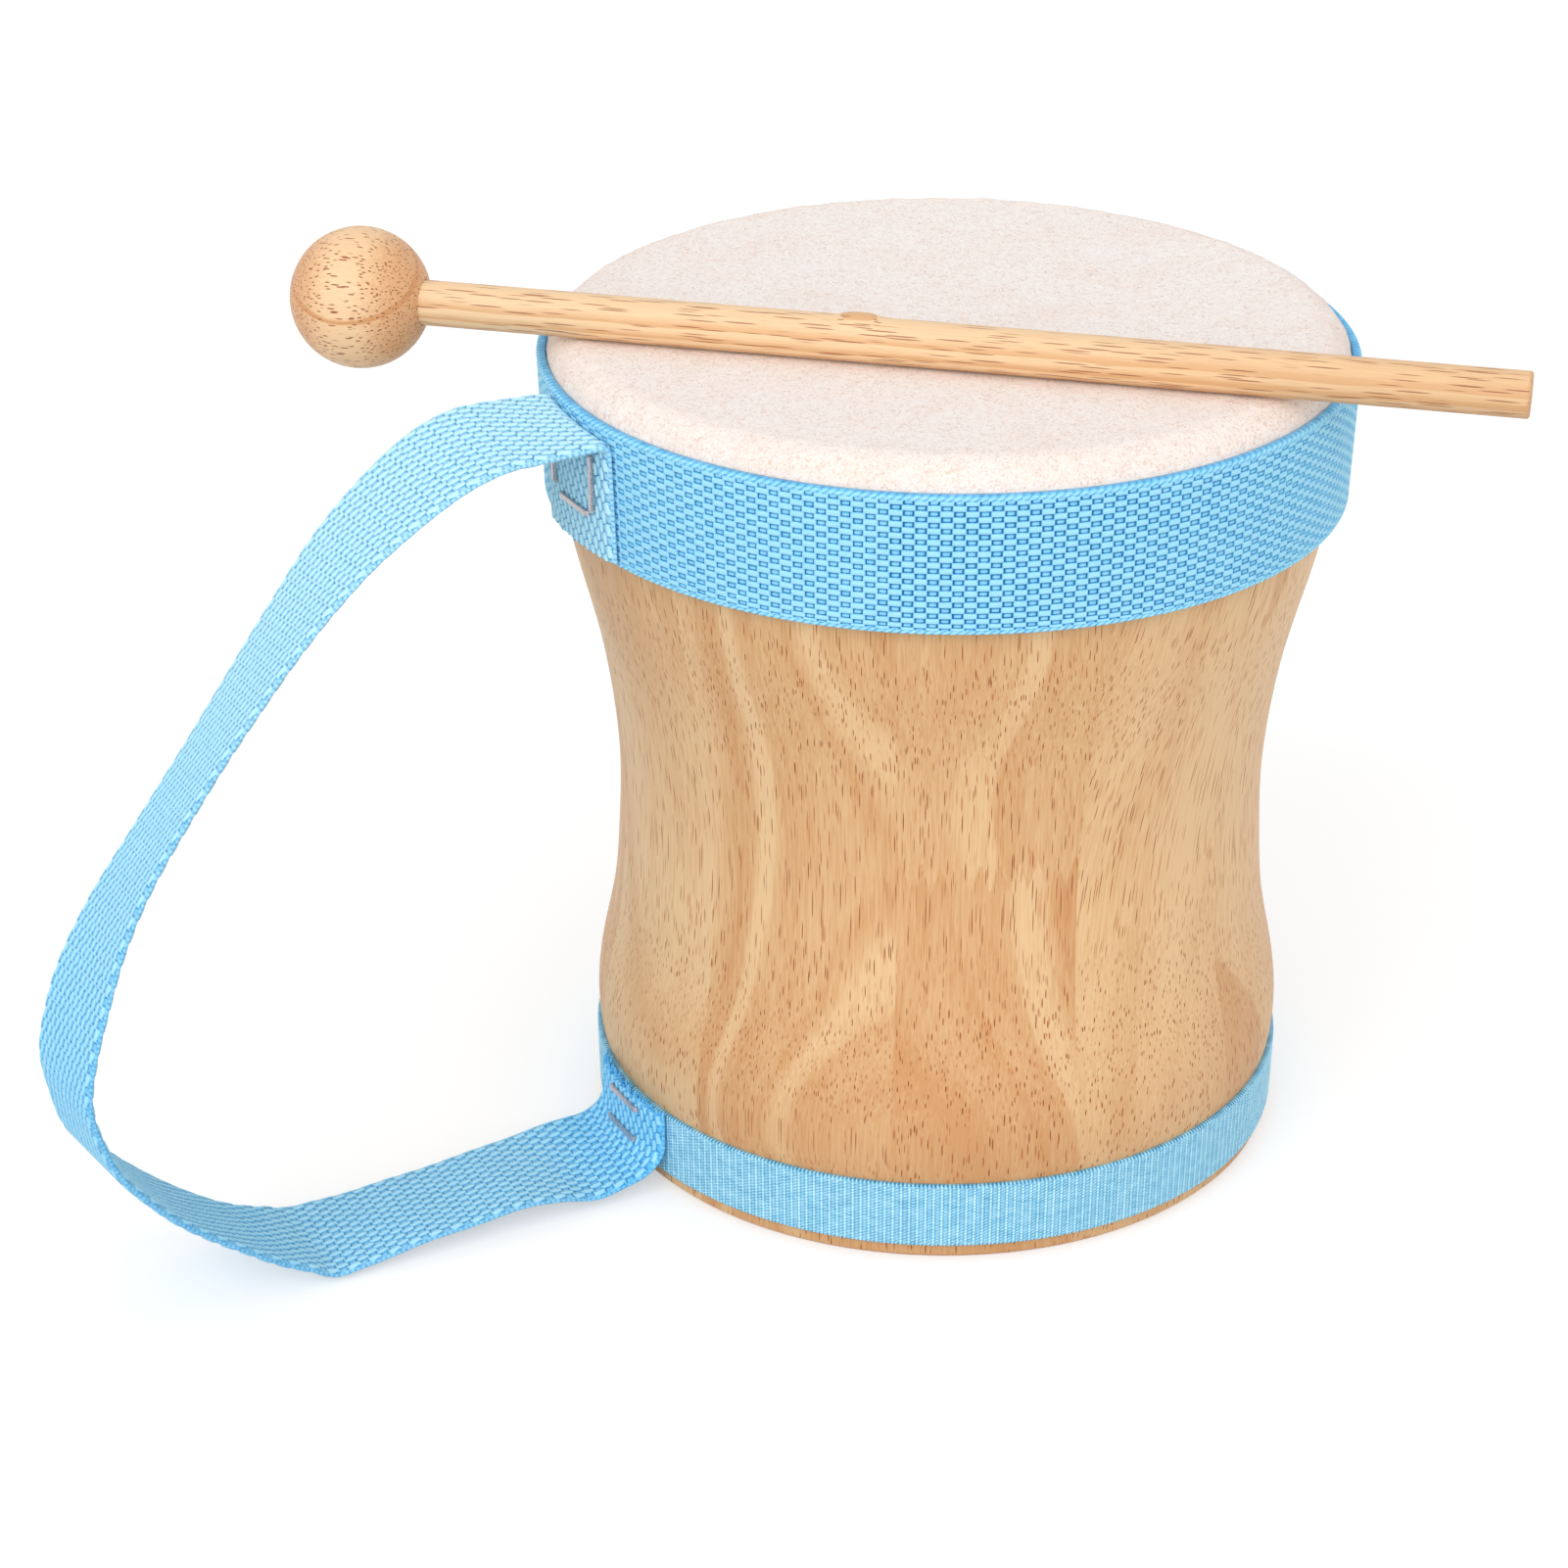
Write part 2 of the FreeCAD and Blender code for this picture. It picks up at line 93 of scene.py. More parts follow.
def eased(tree, value, low, high, to_low=0.0, to_high=1.0):
    """Smooth step of a value between two levels."""
    sockets = {"Value": value, "From Min": low, "From Max": high, "To Min": to_low, "To Max": to_high}
    return put(tree, "MapRange", sockets, interpolation_type="SMOOTHSTEP").outputs[0]


def two_colours(tree, share, first, second):
    node = put(tree, "Mix", {0: share, 6: first, 7: second}, data_type="RGBA")
    return node.outputs[2]


def level_ramp(tree, share, levels, start, end):
    """A level of 0 to 1 by how far a value is from start to end. levels has pairs of value and level."""
    ramp = put(tree, "ValToRGB", {0: share})
    stops = ramp.color_ramp.elements
    while len(stops) < len(levels):
        stops.new(0.5)
    for stop, (at, level) in zip(stops, levels):
        stop.position = (at - start) / (end - start)
        stop.color = (level, level, level, 1.0)
    return ramp.outputs[0]


def effect(name, inputs, outputs):
    """A shader node group with its sockets: the tree, what comes in, and what takes what goes out."""
    tree = bpy.data.node_groups.new(name, "ShaderNodeTree")
    for label, kind in inputs:
        tree.interface.new_socket(label, in_out="INPUT", socket_type="NodeSocket" + kind)
    for label, kind in outputs:
        tree.interface.new_socket(label, in_out="OUTPUT", socket_type="NodeSocket" + kind)
    return tree, tree.nodes.new("NodeGroupInput").outputs, tree.nodes.new("NodeGroupOutput").inputs


def placed_effect(tree, group, **values):
    """The group placed in a material with its own values, whose names have _ for spaces."""
    sockets = {name.replace("_", " "): value for name, value in values.items()}
    return put(tree, "Group", sockets, node_tree=group).outputs


def finish(name, **constants):
    """A new material: its tree and its Principled shader, with the values that are the same all over."""
    material = bpy.data.materials.new(name)
    material.use_nodes = True
    tree = material.node_tree
    shader = tree.nodes["Principled BSDF"]
    for socket, value in constants.items():
        shader.inputs[socket.replace("_", " ")].default_value = value
    return material, tree, shader


def raised(tree, shader, height, millimetres):
    """Relief on a shader from a height of 0 to 1 and what that is in millimetres."""
    bump = put(tree, "Bump", {"Height": height, "Distance": millimetres * MM, "Strength": 1.0})
    tree.links.new(bump.outputs["Normal"], shader.inputs["Normal"])


def dress(piece, material):
    piece.data.materials.clear()
    piece.data.materials.append(material)


def in_millimetres(tree):
    place = put(tree, "TexCoord").outputs["Object"]
    return vector_of(tree, "SCALE", place, scale=1 / MM)


# The grain of a board leans out more and more above the waist, as the board was sawn a little aslant
WAIST = 75.0
LEAN_SETS_IN = 18.0
board_grain, given, gives = effect(
    "board grain", [("Facing", "Vector"), ("Lean", "Float"), ("Slope", "Vector")],
    [("Grain", "Vector"), ("Place", "Vector"), ("Above Waist", "Float")])
place = in_millimetres(board_grain)
height = put(board_grain, "SeparateXYZ", {0: place}).outputs["Z"]
above = sum_of(board_grain, "SUBTRACT", height, WAIST)
up = sum_of(board_grain, "MAXIMUM", above, 0.0)
up_squared = sum_of(board_grain, "MULTIPLY", up, up)
gently = sum_of(board_grain, "DIVIDE", up_squared, sum_of(board_grain, "ADD", up, LEAN_SETS_IN))
leaning = sum_of(board_grain, "MULTIPLY", gently, given["Lean"])
outward = vector_of(board_grain, "SCALE", given["Facing"], scale=leaning)
sideways = vector_of(board_grain, "SCALE", given["Slope"], scale=above)
upright = vector_of(board_grain, "SUBTRACT", place, sideways)
board_grain.links.new(vector_of(board_grain, "SUBTRACT", upright, outward), gives["Grain"])
board_grain.links.new(upright, gives["Place"])
board_grain.links.new(above, gives["Above Waist"])

# Growth rings are nearly flat sheets through a board this small, which twist and bow up it, each
# way from the waist
ring_sheets, given, gives = effect(
    "growth rings",
    [("Place", "Vector"), ("Above Waist", "Float"), ("Facing", "Vector"), ("Twist Above", "Float"),
     ("Twist Below", "Float"), ("Bow Above", "Float"), ("Bow Below", "Float"), ("Warp", "Float"),
     ("Wander", "Float")],
    [("Depth", "Float")])
drawn_out = vector_of(ring_sheets, "MULTIPLY", given["Place"], (0.13, 0.13, 0.03))
wavy = put(ring_sheets, "TexNoise", {"Vector": drawn_out, "Scale": 1.0, "Detail": 3.0, "Roughness": 0.55})
either_way = sum_of(ring_sheets, "SUBTRACT", wavy.outputs[0], 0.5)
wander = sum_of(ring_sheets, "MULTIPLY", either_way, given["Wander"])
up = sum_of(ring_sheets, "MAXIMUM", given["Above Waist"], 0.0)
down = sum_of(ring_sheets, "MINIMUM", given["Above Waist"], 0.0)
turn_back = sum_of(ring_sheets, "ADD", sum_of(ring_sheets, "MULTIPLY", up, given["Twist Above"]),
                   sum_of(ring_sheets, "MULTIPLY", down, given["Twist Below"]))
twisted = put(ring_sheets, "VectorRotate", {
    "Vector": given["Place"], "Axis": (0.0, 0.0, 1.0),
    "Angle": sum_of(ring_sheets, "MULTIPLY", turn_back, -1.0),
}).outputs[0]
across_board = vector_of(ring_sheets, "DOT_PRODUCT", twisted, given["Facing"])
bend = sum_of(ring_sheets, "ADD", given["Bow Below"], sum_of(ring_sheets, "MULTIPLY", given["Warp"], down))
bowed = sum_of(ring_sheets, "ADD", sum_of(ring_sheets, "MULTIPLY", bend, down),
               sum_of(ring_sheets, "MULTIPLY", given["Bow Above"], up))
bent = sum_of(ring_sheets, "SUBTRACT", across_board, bowed)
ring_sheets.links.new(sum_of(ring_sheets, "ADD", bent, wander), gives["Depth"])

# Pores are hair-fine tubes up the board, cut open as dashes where the surface crosses them. Where
# the foot flares they are cut more steeply, and show as short dashes a little further apart
PORE_SPACING, PORE_LENGTH = 0.37, 13.0
FOOT_PORE_SPACING = 0.50
FOOT_BLEND = 14.0
PORE_EDGE, PORE_MIDDLE = 0.32, 0.19
pores, given, gives = effect(
    "rubberwood pores",
    [("Grain", "Vector"), ("Above Waist", "Float"), ("Length", "Float"), ("Foot Length", "Float"),
     ("Foot From", "Float")],
    [("Pore", "Float"), ("Darkness", "Float")])
foot_full = sum_of(pores, "SUBTRACT", given["Foot From"], FOOT_BLEND)
near_foot = eased(pores, given["Above Waist"], given["Foot From"], foot_full)


def pore_layer(spacing, length, shift):
    """One set of pores of a length: how much of a pore lies here, and its own random shade."""
    parts = put(pores, "SeparateXYZ", {0: given["Grain"]}).outputs
    cell = put(pores, "CombineXYZ", {
        "X": sum_of(pores, "DIVIDE", parts["X"], spacing),
        "Y": sum_of(pores, "DIVIDE", parts["Y"], spacing),
        "Z": sum_of(pores, "DIVIDE", parts["Z"], length),
    }).outputs[0]
    cells = put(pores, "TexVoronoi", {"Vector": vector_of(pores, "ADD", cell, shift), "Scale": 1.0})
    inside = eased(pores, cells.outputs["Distance"], PORE_EDGE, PORE_MIDDLE)
    shade = put(pores, "SeparateXYZ", {0: cells.outputs["Color"]}).outputs["X"]
    return inside, shade


long_pore, long_shade = pore_layer(PORE_SPACING, given["Length"], (0.0, 0.0, 0.0))
short_pore, short_shade = pore_layer(FOOT_PORE_SPACING, given["Foot Length"], (31.0, 17.0, 9.0))
pore = put(pores, "Mix", {0: near_foot, 2: long_pore, 3: short_pore}).outputs[0]
shade = put(pores, "Mix", {0: near_foot, 2: long_shade, 3: short_shade}).outputs[0]
pores.links.new(pore, gives["Pore"])
pores.links.new(shade, gives["Darkness"])

# Fibres are fine pale and dark streaks along the grain, over a broad unevenness
fibres, given, gives = effect("wood fibres", [("Grain", "Vector"), ("Seed", "Float")],
                              [("Streak", "Float"), ("Cloud", "Float")])
seeded = vector_of(fibres, "ADD", given["Grain"], put(fibres, "CombineXYZ", {"X": given["Seed"]}).outputs[0])
for label, stretch, detail in (("Streak", (2.6, 2.6, 0.07), 4.0), ("Cloud", (0.13, 0.13, 0.02), 2.0)):
    stretched = vector_of(fibres, "MULTIPLY", seeded, stretch)
    noise = put(fibres, "TexNoise", {"Vector": stretched, "Scale": 1.0, "Detail": detail, "Roughness": 0.6})
    fibres.links.new(noise.outputs[0], gives[label])

WOOD_DARK, YELLOW_DARK = linear(207, 150, 97), linear(219, 174, 122)
WOOD_PALE, YELLOW_PALE = linear(232, 194, 146), linear(234, 200, 153)
# Painted shade: the boards are painted darker and browner towards the foot
WOOD_FOOT_SHADE = linear(199, 160, 119)
FOOT_SHADE_LEVEL = -60.0
PORE_PALE = linear(204, 124, 66)
PORE_DARK = linear(138, 62, 22)
RINGS_FROM, RINGS_TO = 44.0, 72.0
WOOD_RELIEF = 0.004


def stave_wood(name, facing, rings, lean=0.15, twist=(0.0, 0.0), bow=(0.15, 0.0), warp=0.0,
               slope=(0.0, 0.0, 0.0), yellow=0.0, foot_from=-30.0, foot_length=5.0, wander=0.8):
    """Wood of one board. Its growth rings face an azimuth in degrees, and rings says at what depth in
    millimetres the wood is how pale, from 0 to 1. The rest is how its grain and rings run up it."""
    material, tree, shader = finish("wood_" + name, Specular_IOR_Level=0.35)
    toward = (math.cos(math.radians(facing)), math.sin(math.radians(facing)), 0.0)
    board = placed_effect(tree, board_grain, Facing=toward, Lean=lean, Slope=slope)
    sheets = placed_effect(tree, ring_sheets, Place=board["Place"], Above_Waist=board["Above Waist"],
                           Facing=toward, Twist_Above=math.radians(twist[0]),
                           Twist_Below=math.radians(twist[1]),
                           Bow_Above=bow[0], Bow_Below=bow[1], Warp=warp, Wander=wander)
    share = put(tree, "MapRange", {"Value": sheets["Depth"], "From Min": RINGS_FROM, "From Max": RINGS_TO})
    pale = level_ramp(tree, share.outputs[0], rings, RINGS_FROM, RINGS_TO)
    grain = placed_effect(tree, fibres, Grain=board["Grain"], Seed=facing)
    pale = sum_of(tree, "ADD", pale, eased(tree, grain["Cloud"], 0.25, 0.75, -0.12, 0.12))
    pale = sum_of(tree, "ADD", pale, eased(tree, grain["Streak"], 0.3, 0.7, -0.24, 0.24))
    # Painted shade towards the foot: the wood grows less pale, then browner, below the waist
    pale = sum_of(tree, "ADD", pale, eased(tree, board["Above Waist"], -10.0, FOOT_SHADE_LEVEL, 0.0, -0.25))
    yellowed = [tuple(a + (b - a) * yellow for a, b in zip(plain, yellower))
                for plain, yellower in ((WOOD_DARK, YELLOW_DARK), (WOOD_PALE, YELLOW_PALE))]
    timber = two_colours(tree, pale, *yellowed)
    foot_shade = eased(tree, board["Above Waist"], -12.0, FOOT_SHADE_LEVEL, 0.0, 0.24)
    timber = two_colours(tree, foot_shade, timber, WOOD_FOOT_SHADE)
    holes = placed_effect(tree, pores, Grain=board["Grain"], Above_Waist=board["Above Waist"],
                          Length=PORE_LENGTH, Foot_Length=foot_length, Foot_From=foot_from)
    pore_colour = two_colours(tree, holes["Darkness"], PORE_PALE, PORE_DARK)
    cover = sum_of(tree, "MULTIPLY", holes["Pore"], eased(tree, holes["Darkness"], 0.0, 0.7, 0.4, 1.0))
    colour = two_colours(tree, cover, timber, pore_colour)
    tree.links.new(colour, shader.inputs["Base Color"])
    rough = eased(tree, grain["Streak"], 0.3, 0.7, 0.40, 0.50)
    rough = sum_of(tree, "ADD", rough, sum_of(tree, "MULTIPLY", cover, 0.2))
    tree.links.new(rough, shader.inputs["Roughness"])
    raised(tree, shader, sum_of(tree, "SUBTRACT", grain["Streak"], cover), WOOD_RELIEF)
    return material


def usual_rings(seed):
    """Rings of a board that is only seen from behind: each grows paler and ends at a sharp darker line."""
    chance = np.random.default_rng(seed)
    rings, at = [], RINGS_FROM
    while at < RINGS_TO - 5:
        width = chance.uniform(1.8, 4.6)
        rings += [(at, chance.uniform(0.35, 0.55)), (at + width * 0.85, chance.uniform(0.75, 0.95))]
        at += width
    return rings


# The boards that face the camera, with the rings that show on them
front_boards = {
    "stave_01": dict(
        facing=-34.4, twist=(0.231, -0.123), bow=(0.029, 0.015), warp=0.00145, yellow=0.2,
        slope=(0.10, 0.05, 0.0), foot_from=-12.0, foot_length=2.6, wander=0.5,
        rings=[
            (45.9, 0.60), (48.7, 0.76), (51.0, 0.86), (52.5, 0.84), (53.6, 0.64), (55.8, 0.60),
            (57.0, 0.80), (58.6, 1.0), (59.4, 0.95), (60.2, 0.76), (61.3, 0.86), (62.4, 0.80),
        ]),
    "stave_02_upper": dict(
        facing=-96.0, wander=0.45,
        rings=[
            (50.0, 0.45), (54.0, 0.5), (56.5, 0.42), (57.7, 0.38), (57.9, 0.86), (58.7, 0.82),
            (59.1, 0.58), (60.5, 0.48), (62.0, 0.6), (63.5, 0.5),
        ]),
    "stave_02_lower": dict(
        facing=-110.9, twist=(0.156, 0.156), bow=(0.0, 0.078), warp=-0.0022, lean=0.0, wander=0.35,
        foot_from=-12.0,
        rings=[
            (45.2, 0.20), (46.4, 0.40), (47.5, 0.70), (48.8, 0.98), (50.4, 1.0), (51.2, 0.82),
            (51.6, 0.48), (52.9, 0.34), (53.8, 0.42), (55.2, 0.48), (55.7, 0.40), (56.1, 0.20),
            (56.8, 0.34), (57.6, 0.42), (59.2, 0.46), (60.6, 0.44), (62.2, 0.30), (63.4, 0.14),
            (64.2, 0.06), (65.0, 0.16), (66.2, 0.26), (68.4, 0.36), (70.5, 0.42),
        ]),
    "stave_03": dict(
        facing=-97.1, twist=(0.160, -0.094), bow=(0.045, 0.098), warp=0.0006, wander=0.3,
        foot_from=-50.0,
        rings=[
            (47.3, 0.74), (49.0, 0.60), (50.6, 0.42), (51.6, 0.28), (52.9, 0.46), (53.5, 1.02),
            (54.4, 1.08), (54.8, 0.66), (55.5, 0.42), (56.3, 0.40), (58.5, 0.54), (59.3, 0.56),
            (59.9, 0.32), (60.5, 0.56), (61.2, 1.0), (62.1, 0.92), (62.9, 0.42), (64.3, 0.54),
            (65.4, 0.36), (66.0, 0.42), (67.6, 0.60),
        ]),
    "stave_04": dict(
        facing=-142.7, twist=(-0.071, 0.0), bow=(0.099, -0.056), warp=0.00355, yellow=0.3, wander=0.4,
        rings=[
            (50.6, 1.0), (52.3, 0.96), (53.9, 0.60), (54.5, 0.56), (55.6, 0.80), (57.8, 0.84),
            (60.0, 0.60), (61.4, 0.40), (62.7, 0.36),
        ]),
    "stave_11": dict(
        facing=-42.9, wander=0.5, yellow=0.2,
        rings=[
            (50.0, 0.75), (55.0, 0.85), (58.0, 0.92), (60.3, 0.9), (60.45, 0.35), (64.0, 0.45),
        ]),
}
staves = sorted(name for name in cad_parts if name.startswith("stave_"))
for number, name in enumerate(staves):
    if name in front_boards:
        wood = stave_wood(name, **front_boards[name])
    else:
        low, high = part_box(name)
        middle = math.degrees(math.atan2(low.y + high.y, low.x + high.x))
        turn = 28.0 * (-1) ** number
        wood = stave_wood(name, middle + turn, usual_rings(number), yellow=0.2, wander=1.4)
    dress(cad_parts[name], wood)

# Hide head
# One round of natural hide, suede side out, wetted and drawn over the turned rim and down
# under the band, where staples hold its skirt. It dries taut, with soft lumps round the shoulder.
HIDE_TOP = 156.75
HIDE_UNDER = 155.55
HIDE_HEM = 129.65
SHOULDER_IN = 65.2
SHOULDER_HEIGHT = 150.5
SHOULDER_ROUND = 6.25
HIDE_THICKNESS = 1.2
SKIRT_HEM_RADIUS = 70.74
HEAD_EYE = 0.8
HEAD_TURNS = 720


def surface(name, points, faces):
    """A smooth closed mesh from points in millimetres and arrays of faces, each by point number. Its
    faces are turned to look outwards."""
    points = np.asarray(points, np.float64)
    volume = sum(np.einsum("ij,ij->i", points[f[:, 0]], np.cross(points[f[:, i]], points[f[:, i + 1]])).sum()
                 for f in faces for i in range(1, f.shape[1] - 1))
    if volume < 0:
        faces = [f[:, ::-1] for f in faces]
    mesh = bpy.data.meshes.new(name)
    mesh.vertices.add(len(points))
    mesh.vertices.foreach_set("co", (points * MM).astype(np.float32).ravel())
    corners = np.concatenate([f.ravel() for f in faces])
    sizes = np.concatenate([np.full(len(f), f.shape[1]) for f in faces])
    mesh.loops.add(len(corners))
    mesh.loops.foreach_set("vertex_index", corners.astype(np.int32))
    mesh.polygons.add(len(sizes))
    mesh.polygons.foreach_set("loop_start", (np.cumsum(sizes) - sizes).astype(np.int32))
    mesh.update(calc_edges=True)
    mesh.shade_smooth()
    piece = bpy.data.objects.new(name, mesh)
    bpy.context.scene.collection.objects.link(piece)
    return piece


def grid_faces(count_a, count_b, close_a=False, close_b=False):
    """Quads of a grid of points numbered row by row, closed into a ring either way if asked."""
    a = np.arange(count_a if close_a else count_a - 1)[:, None]
    b = np.arange(count_b if close_b else count_b - 1)[None, :]
    after_a, after_b = (a + 1) % count_a, (b + 1) % count_b
    quads = [a * count_b + b, after_a * count_b + b, after_a * count_b + after_b, a * count_b + after_b]
    return np.stack(quads, axis=-1).reshape(-1, 4)


def ripples(places, wavelength, seed, waves=24):
    """Smooth random relief, about -1 to 1, at places in millimetres."""
    chance = np.random.default_rng(seed)
    total = np.zeros(places.shape[:-1])
    for _ in range(waves):
        toward = chance.normal(size=3)
        toward *= 2 * math.pi / (wavelength * chance.uniform(0.7, 1.5)) / np.linalg.norm(toward)
        total += np.sin(places @ toward + chance.uniform(0, 2 * math.pi))
    return total / math.sqrt(waves)


arc = np.linspace(0, math.pi / 2, 26)
outer = np.concatenate([
    np.stack([np.linspace(SKIRT_HEM_RADIUS + HIDE_THICKNESS, SHOULDER_IN + SHOULDER_ROUND, 22),
              np.linspace(HIDE_HEM, SHOULDER_HEIGHT, 22)], axis=1)[:-1],
    np.stack([SHOULDER_IN + SHOULDER_ROUND * np.cos(arc),
              SHOULDER_HEIGHT + SHOULDER_ROUND * np.sin(arc)], axis=1),
    np.stack([np.linspace(SHOULDER_IN, HEAD_EYE, 66)[1:], np.full(65, HIDE_TOP)], axis=1),
])
inner_round = SHOULDER_ROUND - HIDE_THICKNESS
arc = np.linspace(math.pi / 2, 0, 8)
inner = np.concatenate([
    [[HEAD_EYE, HIDE_UNDER], [SHOULDER_IN * 0.5, HIDE_UNDER]],
    np.stack([SHOULDER_IN + inner_round * np.cos(arc), SHOULDER_HEIGHT + inner_round * np.sin(arc)], axis=1),
    [[SKIRT_HEM_RADIUS, HIDE_HEM]],
])
section = np.concatenate([outer, inner])
angle = np.arange(HEAD_TURNS) * 2 * math.pi / HEAD_TURNS
points = np.stack([
    section[None, :, 0] * np.cos(angle)[:, None],
    section[None, :, 0] * np.sin(angle)[:, None],
    np.broadcast_to(section[None, :, 1], (HEAD_TURNS, len(section))),
], axis=-1)
shown = points[:, :len(outer)]
free = np.clip((outer[:, 1] - SHOULDER_HEIGHT) / 2.0, 0, 1)[None, :]
on_shoulder = np.clip((outer[:, 0] - 58.0) / 8.0, 0, 1)[None, :] * free
lumps = 0.08 * ripples(shown, 9.0, 4) + 0.05 * ripples(shown, 4.0, 5)
swell = np.maximum(lumps, -0.15) * on_shoulder
nap = 0.035 * ripples(shown, 1.6, 6) * free
outward = np.zeros_like(shown)
slant = np.clip((outer[:, 0] - SHOULDER_IN) / SHOULDER_ROUND, 0, 1)
outward[..., 0] = np.cos(angle)[:, None] * slant
outward[..., 1] = np.sin(angle)[:, None] * slant
outward[..., 2] = np.sqrt(1 - slant ** 2)
points[:, :len(outer)] = shown + outward * (swell + nap)[..., None]
ring = points.reshape(-1, 3)
top_centre, under_centre = len(ring), len(ring) + 1
ring = np.concatenate([ring, [[0, 0, HIDE_TOP], [0, 0, HIDE_UNDER]]])
# Round the axis, a cap on top and one underneath close the hide in place of the section's step down
quads = grid_faces(HEAD_TURNS, len(section), close_a=True, close_b=True)
quads = quads[(quads[:, 0] % len(section)) != len(outer) - 1]
numbers = np.arange(HEAD_TURNS) * len(section)
follow = np.roll(numbers, -1)
caps = [
    np.stack([numbers + len(outer) - 1, follow + len(outer) - 1, np.full(HEAD_TURNS, top_centre)], axis=1),
    np.stack([follow + len(outer), numbers + len(outer), np.full(HEAD_TURNS, under_centre)], axis=1),
]
head = surface("hide_head", ring, [quads] + caps)

material, tree, shader = finish("hide_suede", Roughness=0.9, Specular_IOR_Level=0.1, Sheen_Weight=0.1)
place = in_millimetres(tree)
patches = put(tree, "TexNoise", {"Vector": place, "Scale": 0.08, "Detail": 5.0, "Roughness": 0.65})
flecks = put(tree, "TexNoise", {
    "Vector": place, "Scale": 0.9, "Detail": 5.0, "Roughness": 0.75, "Distortion": 2.0})
nap = 0.0
for turn in (20.0, 80.0, 140.0):
    lying = put(tree, "VectorRotate", {
        "Vector": place, "Axis": (0.0, 0.0, 1.0), "Angle": math.radians(turn)})
    lying = vector_of(tree, "MULTIPLY", lying.outputs[0], (0.9, 3.2, 1.6))
    hairs = put(tree, "TexNoise", {
        "Vector": lying, "Scale": 1.0, "Detail": 3.0, "Roughness": 0.7, "Distortion": 0.8})
    nap = sum_of(tree, "MAXIMUM", hairs.outputs[0], nap)
from_axis = vector_of(tree, "LENGTH", vector_of(tree, "MULTIPLY", place, (1.0, 1.0, 0.0)))
# Darker beige towards the rim, over the shoulder and down to the band, on top of random beige patches
rim_darkening = eased(tree, from_axis, 62.0, 71.0, 0.0, 0.6)
beige_share = sum_of(tree, "ADD", eased(tree, patches.outputs[0], 0.4, 0.75, 0.0, 0.5), rim_darkening)
suede = two_colours(tree, beige_share, linear(252, 244, 240), linear(249, 233, 222))
fleck = eased(tree, flecks.outputs[0], 0.50, 0.60, 0.0, 0.7)
suede = two_colours(tree, fleck, suede, linear(222, 192, 174))
# Painted highlight on the raised fibres of the nap
nap_highlight = eased(tree, nap, 0.57, 0.68, 0.0, 0.9)
suede = two_colours(tree, nap_highlight, suede, linear(254, 249, 246))
tree.links.new(suede, shader.inputs["Base Color"])
raised(tree, shader, sum_of(tree, "ADD", nap, flecks.outputs[0]), 0.13)
dress(head, material)
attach(head, "drum")
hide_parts("head_skin")

# Hide staples
# Fine galvanised wire staples, two in each stave, that pin the hide's skirt under the band.
# They keep their own solids, which the band hides.
staple_steel, tree, shader = finish("staple_steel", Metallic=0.85)
place = in_millimetres(tree)
dulled = put(tree, "TexNoise", {"Vector": place, "Scale": 2.5, "Detail": 4.0})
dull_share = eased(tree, dulled.outputs[0], 0.3, 0.7)
steel = two_colours(tree, dull_share, linear(176, 170, 172), linear(216, 206, 208))
tree.links.new(steel, shader.inputs["Base Color"])
tree.links.new(eased(tree, dulled.outputs[0], 0.3, 0.7, 0.32, 0.5), shader.inputs["Roughness"])
raised(tree, shader, dulled.outputs[0], 0.02)
dress(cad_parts["hide_staples"], staple_steel)

# Upper band
# A length of 25 mm woven polypropylene webbing, drawn tight over the hide's skirt and butted
# under the strap. Broad floats lie proud in staggered columns, with narrow yarns sunk between them.
BAND_BOTTOM, BAND_TOP = 127.0, 152.0
BAND_INSIDE = 70.7
BAND_FLARE = 0.85 / 25.0
WEBBING_THICKNESS = 1.5
BAND_COLUMNS = 220
STRAP_AZIMUTH = math.radians(-152.0)
BAND_END_GAP = 0.4
WEB_PITCH = 2.04
RELIEF = 0.42


def lay_yarn(piece, shade, place):
    """Keeps with the mesh each point's painted shade, which follows how far the yarn stands out there,
    and that point's place on the strip. On the frayed stubs it holds each stub's own tone.
    """
    yarn = piece.data.attributes.new("yarn_painted_shade_and_tone", "FLOAT", "POINT")
    yarn.data.foreach_set("value", shade.astype(np.float32).ravel())
    laid = piece.data.attributes.new("strip_place", "FLOAT_VECTOR", "POINT")
    laid.data.foreach_set("vector", place.astype(np.float32).ravel())


